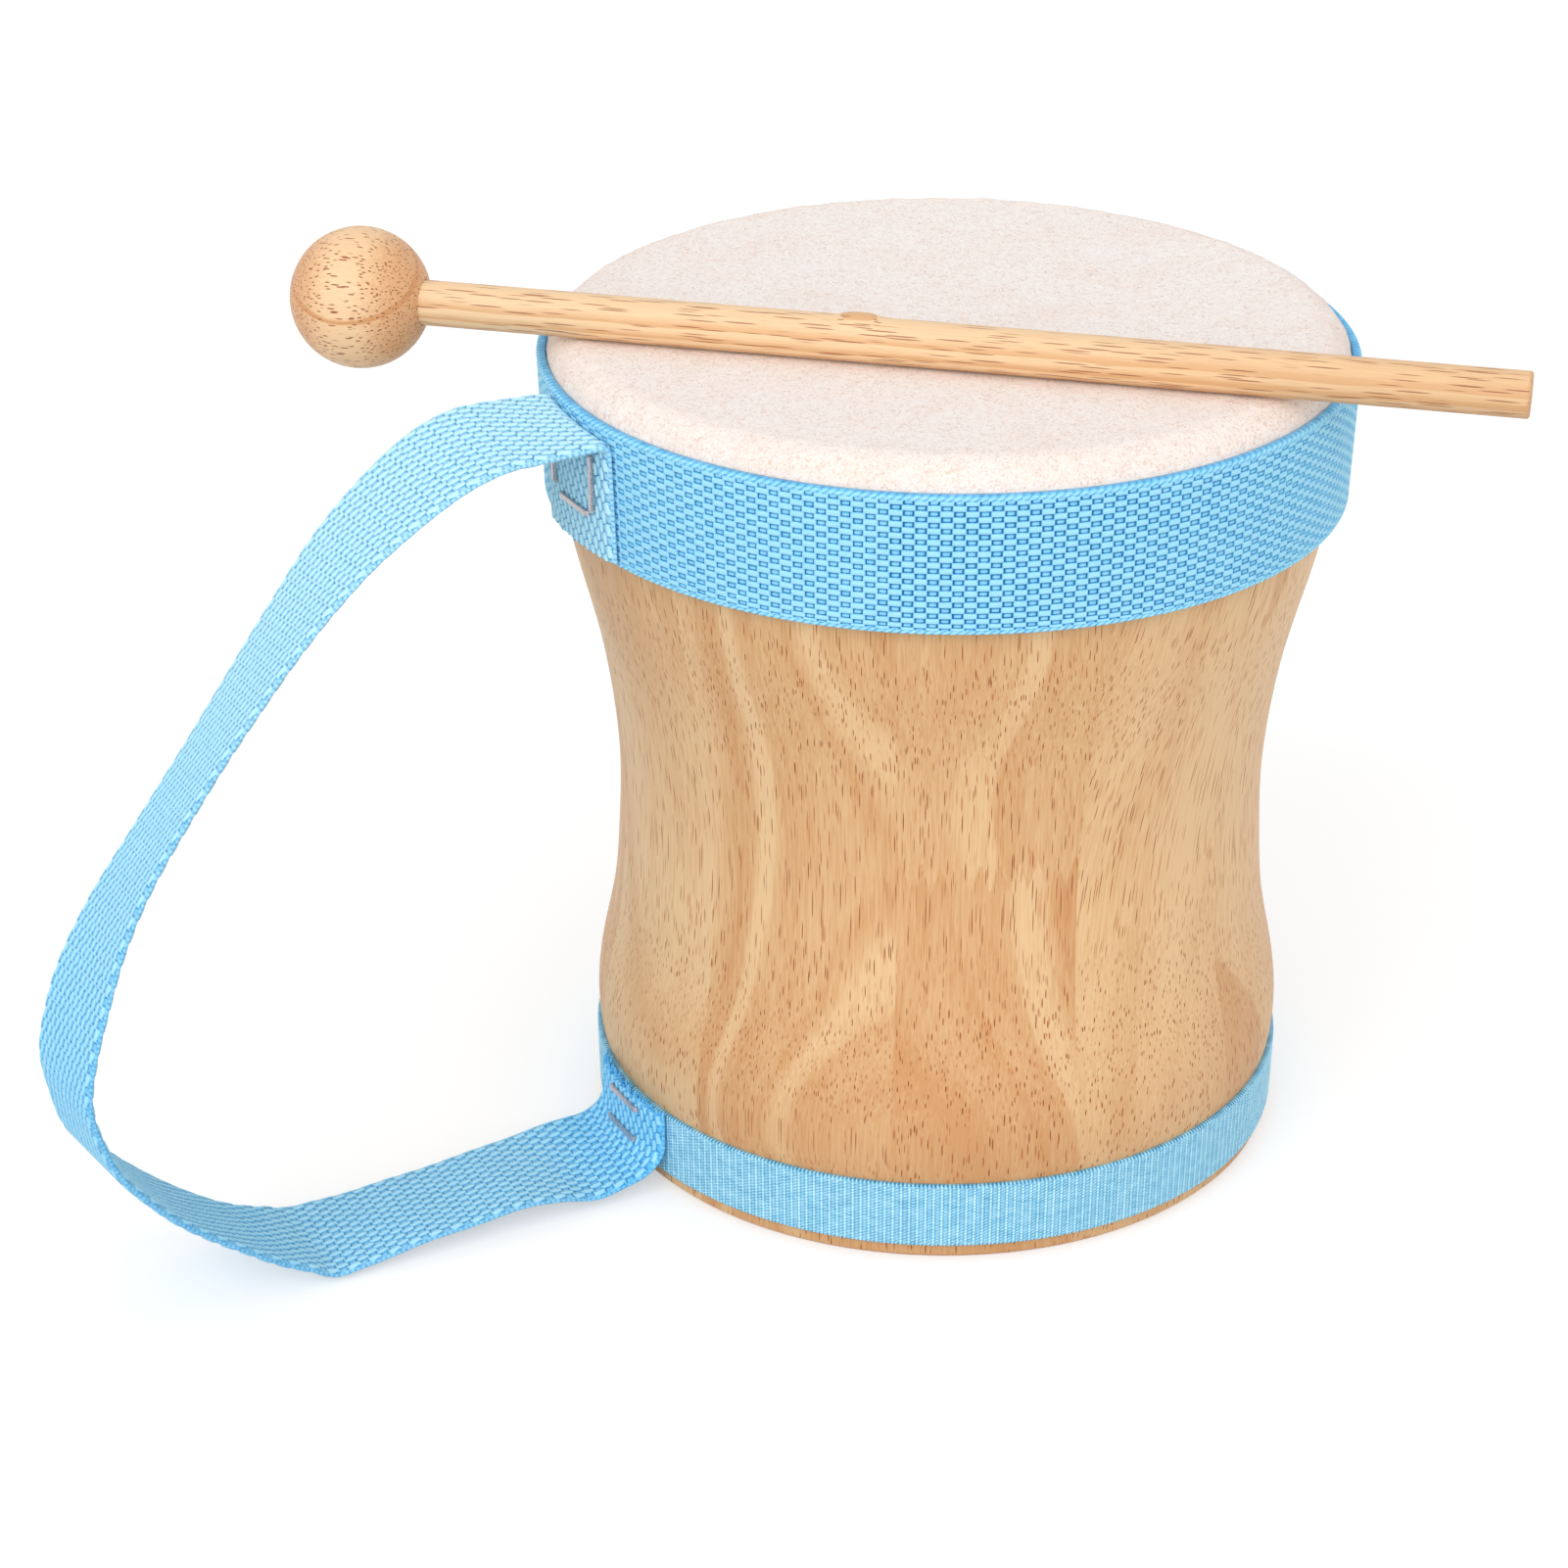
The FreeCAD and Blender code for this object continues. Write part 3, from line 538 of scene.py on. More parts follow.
def webbing(name, along, across, place_of, front, back):
    """A woven strip as one closed mesh. along and across are its stations in millimetres, place_of
    gives points from them and a lift off its middle, and front and back give the lift of each face
    and its painted shade there, which darkens where the yarn sinks and pales on the floats."""
    u, v = np.meshgrid(along, across, indexing="ij")
    front_lift, front_shade = front(u, v)
    back_v = across[::-1] if back else across[[-1, 0]]
    bu, bv = np.meshgrid(along, back_v, indexing="ij")
    if back:
        back_lift, back_shade = back(bu, bv)
    else:
        back_lift = np.full(bu.shape, -WEBBING_THICKNESS / 2)
        back_shade = np.full(bu.shape, 0.5)
    points = np.concatenate([place_of(u, v, front_lift), place_of(bu, bv, back_lift)], axis=1)
    shade = np.concatenate([front_shade, back_shade], axis=1)
    strip = np.concatenate([np.stack([u, v], -1), np.stack([bu, bv], -1)], axis=1)
    count = points.shape[1]
    sides = grid_faces(len(along), count, close_b=True)
    ends = []
    if back:
        half = np.arange(len(across) - 1)
        mirrored = count - 1 - half
        end = np.stack([half, half + 1, mirrored - 1, mirrored], axis=1)
        ends = [end, end[:, ::-1] + (len(along) - 1) * count]
    else:
        whole = np.arange(count)[None, :]
        ends = [whole, whole[:, ::-1] + (len(along) - 1) * count]
    piece = surface(name, points.reshape(-1, 3), [sides] + ends)
    lay_yarn(piece, shade, np.concatenate([strip, np.zeros(strip.shape[:2] + (1,))], axis=-1))
    return piece


def band_rows(v):
    """Rows of yarn counted up the band, closer together by its two woven edges."""
    rise = BAND_TOP - BAND_BOTTOM
    at = np.linspace(0, rise, 400)
    pitch = WEB_PITCH - 0.8 * np.exp(-(at / 2.2) ** 2) - 0.4 * np.exp(-((rise - at) / 1.6) ** 2)
    count = np.concatenate([[0], np.cumsum(np.diff(at) / (pitch[1:] + pitch[:-1]) * 2)])
    return np.interp(v, at, count)


FLOAT_SHARE = 0.52
SLIT_FROM, SLIT_TO = 0.68, 0.82
ROPE = 1.0


def floats(column_place, row_place, taper, crown, sunk_share):
    """Lift share of the webbing at a place counted in columns along it and rows across it. Each float
    runs on a little past its own column, and leaves a thin slit at the sides and the foot of the yarn
    sunk there. taper draws its ends to points and crown rounds its back, each from 0 to 1."""
    column = np.floor(column_place)
    off = np.abs(column_place - column - 0.5) * 2
    row = row_place + 0.5 * (column % 2)
    way = row - np.floor(row)
    share = np.zeros(np.shape(way))
    for at, reach, own in ((way, off, True), ((way + 0.5) % 1, 2 - off, False)):
        half = FLOAT_SHARE / 2 * np.sqrt(np.clip(1 - taper * (reach / 1.4) ** 2, 0.01, 1))
        across = np.abs(at - FLOAT_SHARE / 2) / half
        back = (1 - crown + crown * np.sqrt(np.clip(1 - across ** 2, 0, 1))) * (across < 1)
        back = back * (1 - 0.35 * np.clip((reach - 0.9) / 0.4, 0, 1) ** 3)
        share = np.where(own | (off > SLIT_TO), np.maximum(share, back), share)
    up_yarn = (way - FLOAT_SHARE) / (1 - FLOAT_SHARE)
    sunk = np.clip((up_yarn - 0.08) / 0.20, 0, 1) ** 0.6 * np.sqrt(np.clip(1 - (off / SLIT_FROM) ** 6, 0, 1))
    return np.maximum(share, sunk_share * sunk)


def band_weave(u, v):
    """Lift and painted shade of the band's outer face, one share for both. u counts columns round the drum.
    """
    share = floats(u, band_rows(v), 0.1, 0.25, 0.85)
    edge = np.minimum(v, BAND_TOP - BAND_BOTTOM - v)
    strands = 0.25 + 0.85 * np.abs(np.sin(math.pi * (u * 1.5 - v / 1.2))) ** 0.7
    rope = strands * np.sqrt(np.clip(1 - 0.7 * (2 * edge / ROPE - 1) ** 2, 0, 1))
    share = np.where(edge < ROPE, rope, share)
    lift = WEBBING_THICKNESS / 2 - RELIEF * 0.75 + RELIEF * share
    lift = lift - 0.45 * np.clip(1 - edge / 0.35, 0, 1) ** 2
    return lift, share


def band_place(u, v, lift):
    usable = 2 * math.pi - BAND_END_GAP / BAND_INSIDE
    azimuth = STRAP_AZIMUTH + BAND_END_GAP / BAND_INSIDE / 2 + u / BAND_COLUMNS * usable
    radius = BAND_INSIDE + BAND_FLARE * v + WEBBING_THICKNESS / 2 + lift
    return np.stack([radius * np.cos(azimuth), radius * np.sin(azimuth), BAND_BOTTOM + v], axis=-1)


# Stations over one float each way, closer together where its lift changes
column_steps = np.array([0.0, 0.09, 0.125, 0.16, 0.25, 0.5, 0.75, 0.84, 0.875, 0.91])
row_steps = np.array([0.0, 0.02, 0.06, 0.13, 0.30, 0.50, 0.52, 0.56, 0.63, 0.80])
around = np.append(np.arange(BAND_COLUMNS)[:, None] + column_steps, BAND_COLUMNS)
row_count = float(band_rows(BAND_TOP - BAND_BOTTOM))
levels = np.linspace(0, BAND_TOP - BAND_BOTTOM, 400)
rows = (np.arange(int(row_count) + 1)[:, None] + row_steps).ravel()
selvedge_steps = np.array([0.0, 0.15, 0.35, 0.5, 0.65, 0.85, 1.0]) * ROPE
up_band = np.interp(rows[rows < row_count], band_rows(levels), levels)
up_band = up_band[(up_band > ROPE + 0.02) & (up_band < BAND_TOP - BAND_BOTTOM - ROPE - 0.02)]
up_band = np.concatenate([selvedge_steps, up_band, BAND_TOP - BAND_BOTTOM - selvedge_steps[::-1]])
band = webbing("upper_band_webbing", around, up_band, band_place, band_weave, None)

# Polypropylene yarn: fine bright filaments, over a painted shade that is deeper blue where the yarn sinks
filaments, given, gives = effect(
    "yarn filaments", [("Along", "Float"), ("Across", "Float")],
    [("Filament", "Float"), ("Uneven", "Float")])
laid = put(filaments, "Attribute", attribute_name="strip_place").outputs["Vector"]
parts = put(filaments, "SeparateXYZ", {0: laid}).outputs
drawn = put(filaments, "CombineXYZ", {
    "X": sum_of(filaments, "MULTIPLY", parts["X"], given["Along"]),
    "Y": sum_of(filaments, "MULTIPLY", parts["Y"], given["Across"]),
}).outputs[0]
noise = put(filaments, "TexNoise", {"Vector": drawn, "Scale": 1.0, "Detail": 2.0, "Roughness": 0.6})
filaments.links.new(noise.outputs[0], gives["Filament"])
broad = put(filaments, "TexNoise", {"Vector": vector_of(filaments, "SCALE", laid, scale=0.5), "Scale": 1.0})
filaments.links.new(broad.outputs[0], gives["Uneven"])

# The pale blue that the strap is painted towards where light falls on it: painted light
PAINTED_LIGHT_BLUE = linear(214, 250, 251)


def yarn_finish(name, deep, middle, pale, along, across, lit_paleness=()):
    """Woven yarn in three blues by how far it stands out, which is painted shade: deep blue in the sunk
    yarn and slits, and a painted highlight of pale blue on the crowns of the floats. It has filaments
    this many to the millimetre. The last argument says how much paler the strip is painted at which
    places along it, as painted light."""
    material, tree, shader = finish(name, Roughness=0.55, Specular_IOR_Level=0.35, Sheen_Weight=0.1)
    shading_and_tone = put(tree, "Attribute", attribute_name="yarn_painted_shade_and_tone").outputs["Fac"]
    fine = placed_effect(tree, filaments, Along=along, Across=across)
    shade = sum_of(tree, "ADD", shading_and_tone, eased(tree, fine["Filament"], 0.3, 0.7, -0.12, 0.12))
    shade = sum_of(tree, "ADD", shade, eased(tree, fine["Uneven"], 0.3, 0.7, -0.06, 0.06))
    # Painted shade and highlight: deep blue where the yarn sinks, pale blue on the crowns of the floats
    ramp = put(tree, "ValToRGB", {0: shade})
    stops = ramp.color_ramp.elements
    stops.new(0.45)
    for stop, at, colour in zip(stops, (0.05, 0.5, 0.95), (deep, middle, pale)):
        stop.position = at
        stop.color = linear(*colour)
    colour = ramp.outputs[0]
    # Painted light: the strip is painted paler at places along it, less so in the sunk yarn and slits
    if lit_paleness:
        laid = put(tree, "Attribute", attribute_name="strip_place").outputs["Vector"]
        along_strip = put(tree, "SeparateXYZ", {0: laid}).outputs["X"]
        ends = lit_paleness[-1][0]
        painted_light_share = level_ramp(tree, sum_of(tree, "DIVIDE", along_strip, ends), lit_paleness, 0.0, ends)
        painted_light_share = sum_of(tree, "MULTIPLY", painted_light_share, eased(tree, shading_and_tone, 0.1, 0.7, 0.1, 1.0))
        colour = two_colours(tree, painted_light_share, colour, PAINTED_LIGHT_BLUE)
    tree.links.new(colour, shader.inputs["Base Color"])
    raised(tree, shader, fine["Filament"], 0.05)
    return material


dress(band, yarn_finish("band_yarn", (16, 112, 166), (96, 189, 242), (164, 227, 251), 0.8, 9.0))
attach(band, "drum")
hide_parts("upper_band")

# Foot ribbon
# A 13 mm woven ribbon glued round the foot, 3 mm above the floor, its ends butted under the strap.
# Columns of small pale beads stand up it, with slanting strands sunk between them.
RIBBON_BOTTOM, RIBBON_WIDTH = 3.05, 12.9
RIBBON_INSIDE = 63.8
RIBBON_FLARE = 0.35 / 15.95
RIBBON_THICKNESS = 0.9
RIB_COLUMNS = 278
STITCH = 0.62
BEAD_SHARE = 0.36
STRAND_MIDDLE = (1 + BEAD_SHARE) / 2


def ribbon_weave(u, v):
    """Lift and painted shade of the ribbon's outer face, one share for both. u counts columns round the
    foot: a column of raised beads, then short strands that slant down between it and the next."""
    way = u - np.floor(u)
    on_bead = way < BEAD_SHARE
    off_bead = np.abs(way * 2 / BEAD_SHARE - 1)
    off = np.where(on_bead, off_bead, np.abs(way - STRAND_MIDDLE) / (1 - STRAND_MIDDLE))
    stitch = np.where(on_bead, v / STITCH, v / STITCH + 0.5 - 0.9 * (way - STRAND_MIDDLE))
    bead = np.sin(math.pi * (stitch - np.floor(stitch))) ** 0.7
    rounded = np.sqrt(np.clip(1 - 0.85 * off ** 2, 0, 1))
    share = np.where(on_bead, rounded * (0.42 + 0.58 * bead), rounded * (0.24 + 0.44 * bead))
    edge = np.minimum(v, RIBBON_WIDTH - v)
    share = np.where(edge < 0.3, 0.4 + 0.35 * np.sin(4 * math.pi * u), share)
    lift = RIBBON_THICKNESS / 2 - 0.2 + 0.26 * share
    lift = lift - 0.3 * np.clip(1 - edge / 0.35, 0, 1) ** 2
    return lift, share


def ribbon_place(u, v, lift):
    usable = 2 * math.pi - BAND_END_GAP / RIBBON_INSIDE
    azimuth = STRAP_AZIMUTH + BAND_END_GAP / RIBBON_INSIDE / 2 + u / RIB_COLUMNS * usable
    radius = RIBBON_INSIDE + RIBBON_FLARE * (RIBBON_BOTTOM + v) + RIBBON_THICKNESS / 2 + lift
    return np.stack([radius * np.cos(azimuth), radius * np.sin(azimuth), RIBBON_BOTTOM + v], axis=-1)


rib_steps = np.array([0.0, 0.07, 0.18, 0.29, 0.36, 0.42, 0.52, 0.60, 0.68, 0.76, 0.84, 0.94])
around = np.concatenate([(np.arange(RIB_COLUMNS)[:, None] + rib_steps).ravel(), [RIB_COLUMNS]])
up_ribbon = np.linspace(0, RIBBON_WIDTH, 98)
ribbon = webbing("foot_ribbon_cord", around, up_ribbon, ribbon_place, ribbon_weave, None)
dress(ribbon, yarn_finish("ribbon_yarn", (26, 118, 166), (132, 202, 235), (212, 248, 254), 0.6, 5.0))
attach(ribbon, "drum")
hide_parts("foot_ribbon")

# Strap
# One length of 25 mm webbing, stapled to the band, folded outwards over its own tab, hanging in
# a loop, and curled up to a raw-cut end stapled on the ribbon.
STRAP_HALF = 12.5
TAB_BOTTOM = 128.2
UPPER_RUN = 149.95
LOWER_RUN = 4.0
UPPER_FOLD = 1.35
UPPER_FOLD_PLACE = (75.15, 148.6)
LOWER_BEND = 5.8
LOWER_BEND_PLACE = (71.6, 9.8)
LOWER_TAB_TOP = 15.75
TAB_GAP = 0.05
LOOP_START = 86.0
LOOP_REACH = 86.8
# How far past the fold and the bend the strap still follows the drum's round, and its twist there
HUG_RUN = 12.0
TWIST, TWIST_RUN = 0.12, 22.0
# The loop's run from the fold to the bend, as shares of its reach and of its rise
loop_shares = (
    (0.06, 0.998), (0.161, 0.978), (0.323, 0.913), (0.501, 0.795), (0.691, 0.640), (0.855, 0.493),
    (0.968, 0.360), (1.0, 0.281), (0.962, 0.202), (0.870, 0.137), (0.720, 0.056), (0.588, 0.004),
    (0.438, -0.019), (0.253, -0.009), (0.08, -0.001), (0.0, 0.0),
)


def quarter(centre, radius, start, end, count=10):
    """Points of a bend in the strap's upright plane, as distance out and height."""
    turn = np.radians(np.linspace(start, end, count))
    return [(centre[0] + radius * math.cos(t), centre[1] + radius * math.sin(t)) for t in turn]


def smooth_through(knots, per_span=12):
    """A curve through the knots that keeps their spacing in mind, so that it doesn't overshoot."""
    knots = np.array(knots, float)
    ends = np.concatenate([[2 * knots[0] - knots[1]], knots, [2 * knots[-1] - knots[-2]]])
    times = np.concatenate([[0], np.cumsum(np.sqrt(np.linalg.norm(np.diff(ends, axis=0), axis=1)))])
    line = []
    for i in range(1, len(ends) - 2):
        t0, t1, t2, t3 = times[i - 1:i + 3]
        p0, p1, p2, p3 = ends[i - 1:i + 3]
        for t in np.linspace(t1, t2, per_span, endpoint=False):
            a1 = (t1 - t) / (t1 - t0) * p0 + (t - t0) / (t1 - t0) * p1
            a2 = (t2 - t) / (t2 - t1) * p1 + (t - t1) / (t2 - t1) * p2
            a3 = (t3 - t) / (t3 - t2) * p2 + (t - t2) / (t3 - t2) * p3
            b1 = (t2 - t) / (t2 - t0) * a1 + (t - t0) / (t2 - t0) * a2
            b2 = (t3 - t) / (t3 - t1) * a2 + (t - t1) / (t3 - t1) * a3
            line.append((t2 - t) / (t2 - t1) * b1 + (t - t1) / (t2 - t1) * b2)
    line.append(knots[-1])
    return np.array(line)


tab_out = BAND_INSIDE + BAND_FLARE * (TAB_BOTTOM - BAND_BOTTOM) + 1.5 * WEBBING_THICKNESS + TAB_GAP
upper_fold = quarter(UPPER_FOLD_PLACE, UPPER_FOLD, 180, 90)
loop = smooth_through([(LOOP_START - 5.0, UPPER_RUN), (LOOP_START, UPPER_RUN)] + [
    (LOOP_START + reach * LOOP_REACH, LOWER_RUN + rise * (UPPER_RUN - LOWER_RUN))
    for reach, rise in loop_shares
] + [(LOOP_START - 5.0, LOWER_RUN)])
lower_bend = quarter(LOWER_BEND_PLACE, LOWER_BEND, 270, 180)
route = np.array([(tab_out, TAB_BOTTOM)] + upper_fold + [tuple(p) for p in loop] + lower_bend
                 + [(LOWER_BEND_PLACE[0] - LOWER_BEND, LOWER_TAB_TOP)])
route_length = np.concatenate([[0], np.cumsum(np.linalg.norm(np.diff(route, axis=0), axis=1))])
STRAP_LENGTH = float(route_length[-1])
fold_at = float(route_length[1])
bend_at = float(route_length[-2])
SPARE = 3.0
path_at = np.concatenate([[-SPARE], route_length, [STRAP_LENGTH + SPARE]])
path = np.concatenate([[route[0] - [0, SPARE]], route, [route[-1] + [0, SPARE]]])
# How far the far and the near edge stand off the middle run, as the hanging strap twists a little
strap_sway = smooth_through([
    (-SPARE, 0, 0), (30, 0, -0.2), (42, 0.4, -0.6), (60, 1.1, -0.6), (72, 1.4, -1.4), (84, 1.9, -2.5),
    (96, 2.2, -3.2), (108, 2.1, -4.0), (120, 1.6, -4.4), (132, 0.9, -4.4), (144, -0.3, -3.4),
    (156, -0.85, -1.5), (168, -0.3, -0.1), (180, 0.4, 1.5), (190, -1.0, 1.3), (204, -1.4, 0.4),
    (222, -1.1, 0.95), (234, -0.2, 0.5), (239, -0.3, -0.6), (245, 0.4, 0.7), (254, -0.1, 1.4),
    (266, -0.8, 1.0), (276, -0.6, 1.1), (284, -0.1, 0.0), (291, 0.8, -1.6), (299, 0.9, -0.2),
    (306, 0.3, 0), (STRAP_LENGTH + SPARE, 0, 0),
])


def strap_weave(u, v):
    """Lift and painted shade of a face of the strap, from the length along it and the place across it.
    It is the band's webbing, but hangs slack, so that its floats are rounder and lie a little aslant."""
    edge = STRAP_HALF - np.abs(v)
    columns = (u + 0.10 * v) / WEB_PITCH
    aslant = 0.16 * (columns - np.floor(columns) - 0.5)
    share = floats(columns, (v + STRAP_HALF) / WEB_PITCH + aslant, 0.75, 0.6, 0.45)
    share = np.where(edge < 0.35, 0.42 + 0.16 * np.sin(4 * math.pi * u / WEB_PITCH), share)
    lift = WEBBING_THICKNESS / 2 - RELIEF * 0.75 + RELIEF * share
    lift = lift * np.sqrt(np.clip(edge / 1.1, 0.05, 1))
    return lift, share


def strap_back(u, v):
    lift, share = strap_weave(u + WEB_PITCH, v)
    return -lift, share


def strap_place(u, v, lift):
    """Point of the strap: u along its route, v across it towards the front, lift off its middle."""
    near = (v + STRAP_HALF) / (2 * STRAP_HALF)
    far_sway, near_sway = (np.interp(u, strap_sway[:, 0], strap_sway[:, k]) for k in (1, 2))
    lift = lift + far_sway * (1 - near) + near_sway * near
    out = np.interp(u, path_at, path[:, 0])
    up = np.interp(u, path_at, path[:, 1])
    step = 0.35
    ahead, behind = np.clip(u + step, -SPARE, path_at[-1]), np.clip(u - step, -SPARE, path_at[-1])
    run = np.interp(ahead, path_at, path[:, 0]) - np.interp(behind, path_at, path[:, 0])
    rise = np.interp(ahead, path_at, path[:, 1]) - np.interp(behind, path_at, path[:, 1])
    size = np.hypot(run, rise)
    normal_out, normal_up = rise / size, -run / size
    from_fold, from_bend = u - fold_at, bend_at - u
    hug = np.clip(1 - from_fold / HUG_RUN, 0, 1) + np.clip(1 - from_bend / HUG_RUN, 0, 1)
    hug = np.clip(hug, 0, 1)
    hug = hug * hug * (3 - 2 * hug)
    radius = out + lift * normal_out
    hugging = np.sqrt(np.maximum(radius ** 2 - v ** 2, 1.0))
    reach = radius + (hugging - radius) * hug
    twist = TWIST * np.exp(-((u - fold_at - TWIST_RUN) / TWIST_RUN) ** 2)
    return np.stack([
        reach * math.cos(STRAP_AZIMUTH) - v * math.sin(STRAP_AZIMUTH),
        reach * math.sin(STRAP_AZIMUTH) + v * math.cos(STRAP_AZIMUTH),
        up + lift * normal_up - v * twist,
    ], axis=-1)


stations = np.linspace(0, STRAP_LENGTH, int(STRAP_LENGTH / WEB_PITCH * 9))
inside = np.linspace(-STRAP_HALF + 0.62, STRAP_HALF - 0.62, 118)
rim = STRAP_HALF - np.array([0.0, 0.12, 0.3, 0.5, 0.58])
across = np.concatenate([-rim, inside, rim[::-1]])
strap = webbing("strap_webbing", stations, across, strap_place, strap_weave, strap_back)
# Painted light along the strap, as a share of pale blue at places along it: most on the upper tab and the
# top of the loop, least down the lower run and on the lower tab
strap_painted_light = [
    (0, 0.60), (18, 0.60), (24, 0.62), (60, 0.60), (100, 0.48), (140, 0.28), (175, 0.10), (215, 0.10),
    (228, 0.12), (240, 0.26), (286, 0.22), (296, 0.02), (STRAP_LENGTH, 0.0),
]
strap_yarn = yarn_finish("strap_yarn", (26, 136, 200), (108, 198, 248), (158, 224, 254), 1.0, 7.0,
                         strap_painted_light)
dress(strap, strap_yarn)
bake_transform(strap)
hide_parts("strap_upper_tab", "strap_loop", "strap_lower_tab")

# The raw-cut ends fray into short stubs of deeper blue yarn, longest at the lower end's far side
STUB_RADIUS = 0.24
STUBS = 70
STUB_SIDES = 6
stub_rounds = np.arange(STUB_SIDES) * 2 * math.pi / STUB_SIDES
stub_widths = ((-0.6, 1.0), (0.0, 1.0), (0.5, 0.95), (0.85, 0.8), (1.0, 0.3))
stub_points = []
chance = np.random.default_rng(21)
for end, onward, spread in ((0.0, -1.0, (0.15, 0.5)), (STRAP_LENGTH, 1.0, (0.4, 1.5))):
    across_stub = np.linspace(-STRAP_HALF + 0.4, STRAP_HALF - 0.4, STUBS)
    across_stub = across_stub + chance.uniform(-0.15, 0.15, STUBS)
    far_side = 0.5 - across_stub / (2 * STRAP_HALF)
    length = chance.uniform(*spread, STUBS) * (0.7 + 0.9 * far_side)
    layer = chance.uniform(-0.42, 0.42, STUBS)
    droop = chance.uniform(-0.25, 0.25, (2, STUBS))
    for reach, width in stub_widths:
        past = np.where(reach > 0, reach * length, reach)[:, None]
        sag = droop * max(reach, 0) * length
        side = (across_stub + sag[0])[:, None] + STUB_RADIUS * width * np.cos(stub_rounds)
        lift = (layer + sag[1])[:, None] + STUB_RADIUS * width * np.sin(stub_rounds)
        stub_points.append(strap_place(end + onward * past + 0 * side, side, lift))
rounds = len(stub_widths)
stub_points = np.array(stub_points).reshape(2, rounds, STUBS, STUB_SIDES, 3)
stub_points = stub_points.transpose(0, 2, 1, 3, 4).reshape(-1, 3)
one_stub = grid_faces(rounds, STUB_SIDES, close_b=True)
root = np.arange(STUB_SIDES)
caps = np.array([root, rounds * STUB_SIDES - 1 - root])
firsts = np.arange(2 * STUBS)[:, None, None] * rounds * STUB_SIDES
stub_faces = [(one_stub + firsts).reshape(-1, 4), (caps + firsts).reshape(-1, STUB_SIDES)]
frayed = surface("strap_frayed_yarns", stub_points, stub_faces)
shades = np.repeat(chance.uniform(0.12, 0.5, 2 * STUBS), rounds * STUB_SIDES)
lay_yarn(frayed, shades, np.full(stub_points.shape, STRAP_LENGTH))
dress(frayed, strap_yarn)
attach(frayed, "drum")

# Tab staples
# The same wire staples, driven through the strap's tabs, the band or ribbon and into the wood:
# three round the upper tab and two across the lower one. They keep their own solids.
for name in ("upper_tab_staples", "lower_tab_staples"):
    dress(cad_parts[name], staple_steel)

# Mallet ball
# A 25 mm ball turned from a block of the same wood and drilled for the dowel. Its rings show as
# arcs at the sides and its pores as dashes round the middle. It keeps its own solid.
MALLET_AZIMUTH = math.radians(-13.66)
MALLET_RELIEF = 0.015
# The dowel grows darker over this run from the ball's middle towards its free end
DARKER_FROM, DARKER_TO = 90.0, 190.0
MALLET_FORWARD = (math.cos(MALLET_AZIMUTH), math.sin(MALLET_AZIMUTH), 0.0)
BALL_CENTRE = (-103.75, -2.41, 161.0)
mallet_rings, given, gives = effect(
    "mallet grain",
    [("Facing", "Vector"), ("Start", "Float"), ("Bend", "Float"), ("Spacing", "Float"),
     ("Pore Shape", "Vector")],
    [("Ring", "Float"), ("Pore", "Float"), ("Streak", "Float"), ("Along", "Float")])
from_ball = vector_of(mallet_rings, "SUBTRACT", in_millimetres(mallet_rings), BALL_CENTRE)
turned_back = put(mallet_rings, "VectorRotate", {
    "Vector": from_ball, "Axis": (0, 0, 1), "Angle": -MALLET_AZIMUTH}).outputs[0]
parts = put(mallet_rings, "SeparateXYZ", {0: turned_back}).outputs
mallet_rings.links.new(parts["X"], gives["Along"])
aside_squared = sum_of(mallet_rings, "MULTIPLY", parts["Y"], parts["Y"])
bowed = sum_of(mallet_rings, "MULTIPLY", aside_squared, given["Bend"])
level = vector_of(mallet_rings, "DOT_PRODUCT", turned_back, given["Facing"])
level = sum_of(mallet_rings, "ADD", level, bowed)
drawn = vector_of(mallet_rings, "MULTIPLY", turned_back, (0.05, 0.25, 0.25))
bumpy = put(mallet_rings, "TexNoise", {"Vector": drawn, "Scale": 1.0, "Detail": 2.0})
level = sum_of(mallet_rings, "SUBTRACT", level, given["Start"])
level = sum_of(mallet_rings, "ADD", level, bumpy.outputs[0])
turns = sum_of(mallet_rings, "DIVIDE", level, given["Spacing"])
mallet_rings.links.new(sum_of(mallet_rings, "FRACT", turns), gives["Ring"])
cell = put(mallet_rings, "TexVoronoi", {
    "Vector": vector_of(mallet_rings, "MULTIPLY", turned_back, given["Pore Shape"]), "Scale": 1.0})
mallet_rings.links.new(eased(mallet_rings, cell.outputs["Distance"], 0.34, 0.21), gives["Pore"])
streaky = put(mallet_rings, "TexNoise", {
    "Vector": vector_of(mallet_rings, "MULTIPLY", turned_back, (0.12, 3.0, 3.0)),
    "Scale": 1.0, "Detail": 4.0, "Roughness": 0.6})
mallet_rings.links.new(streaky.outputs[0], gives["Streak"])


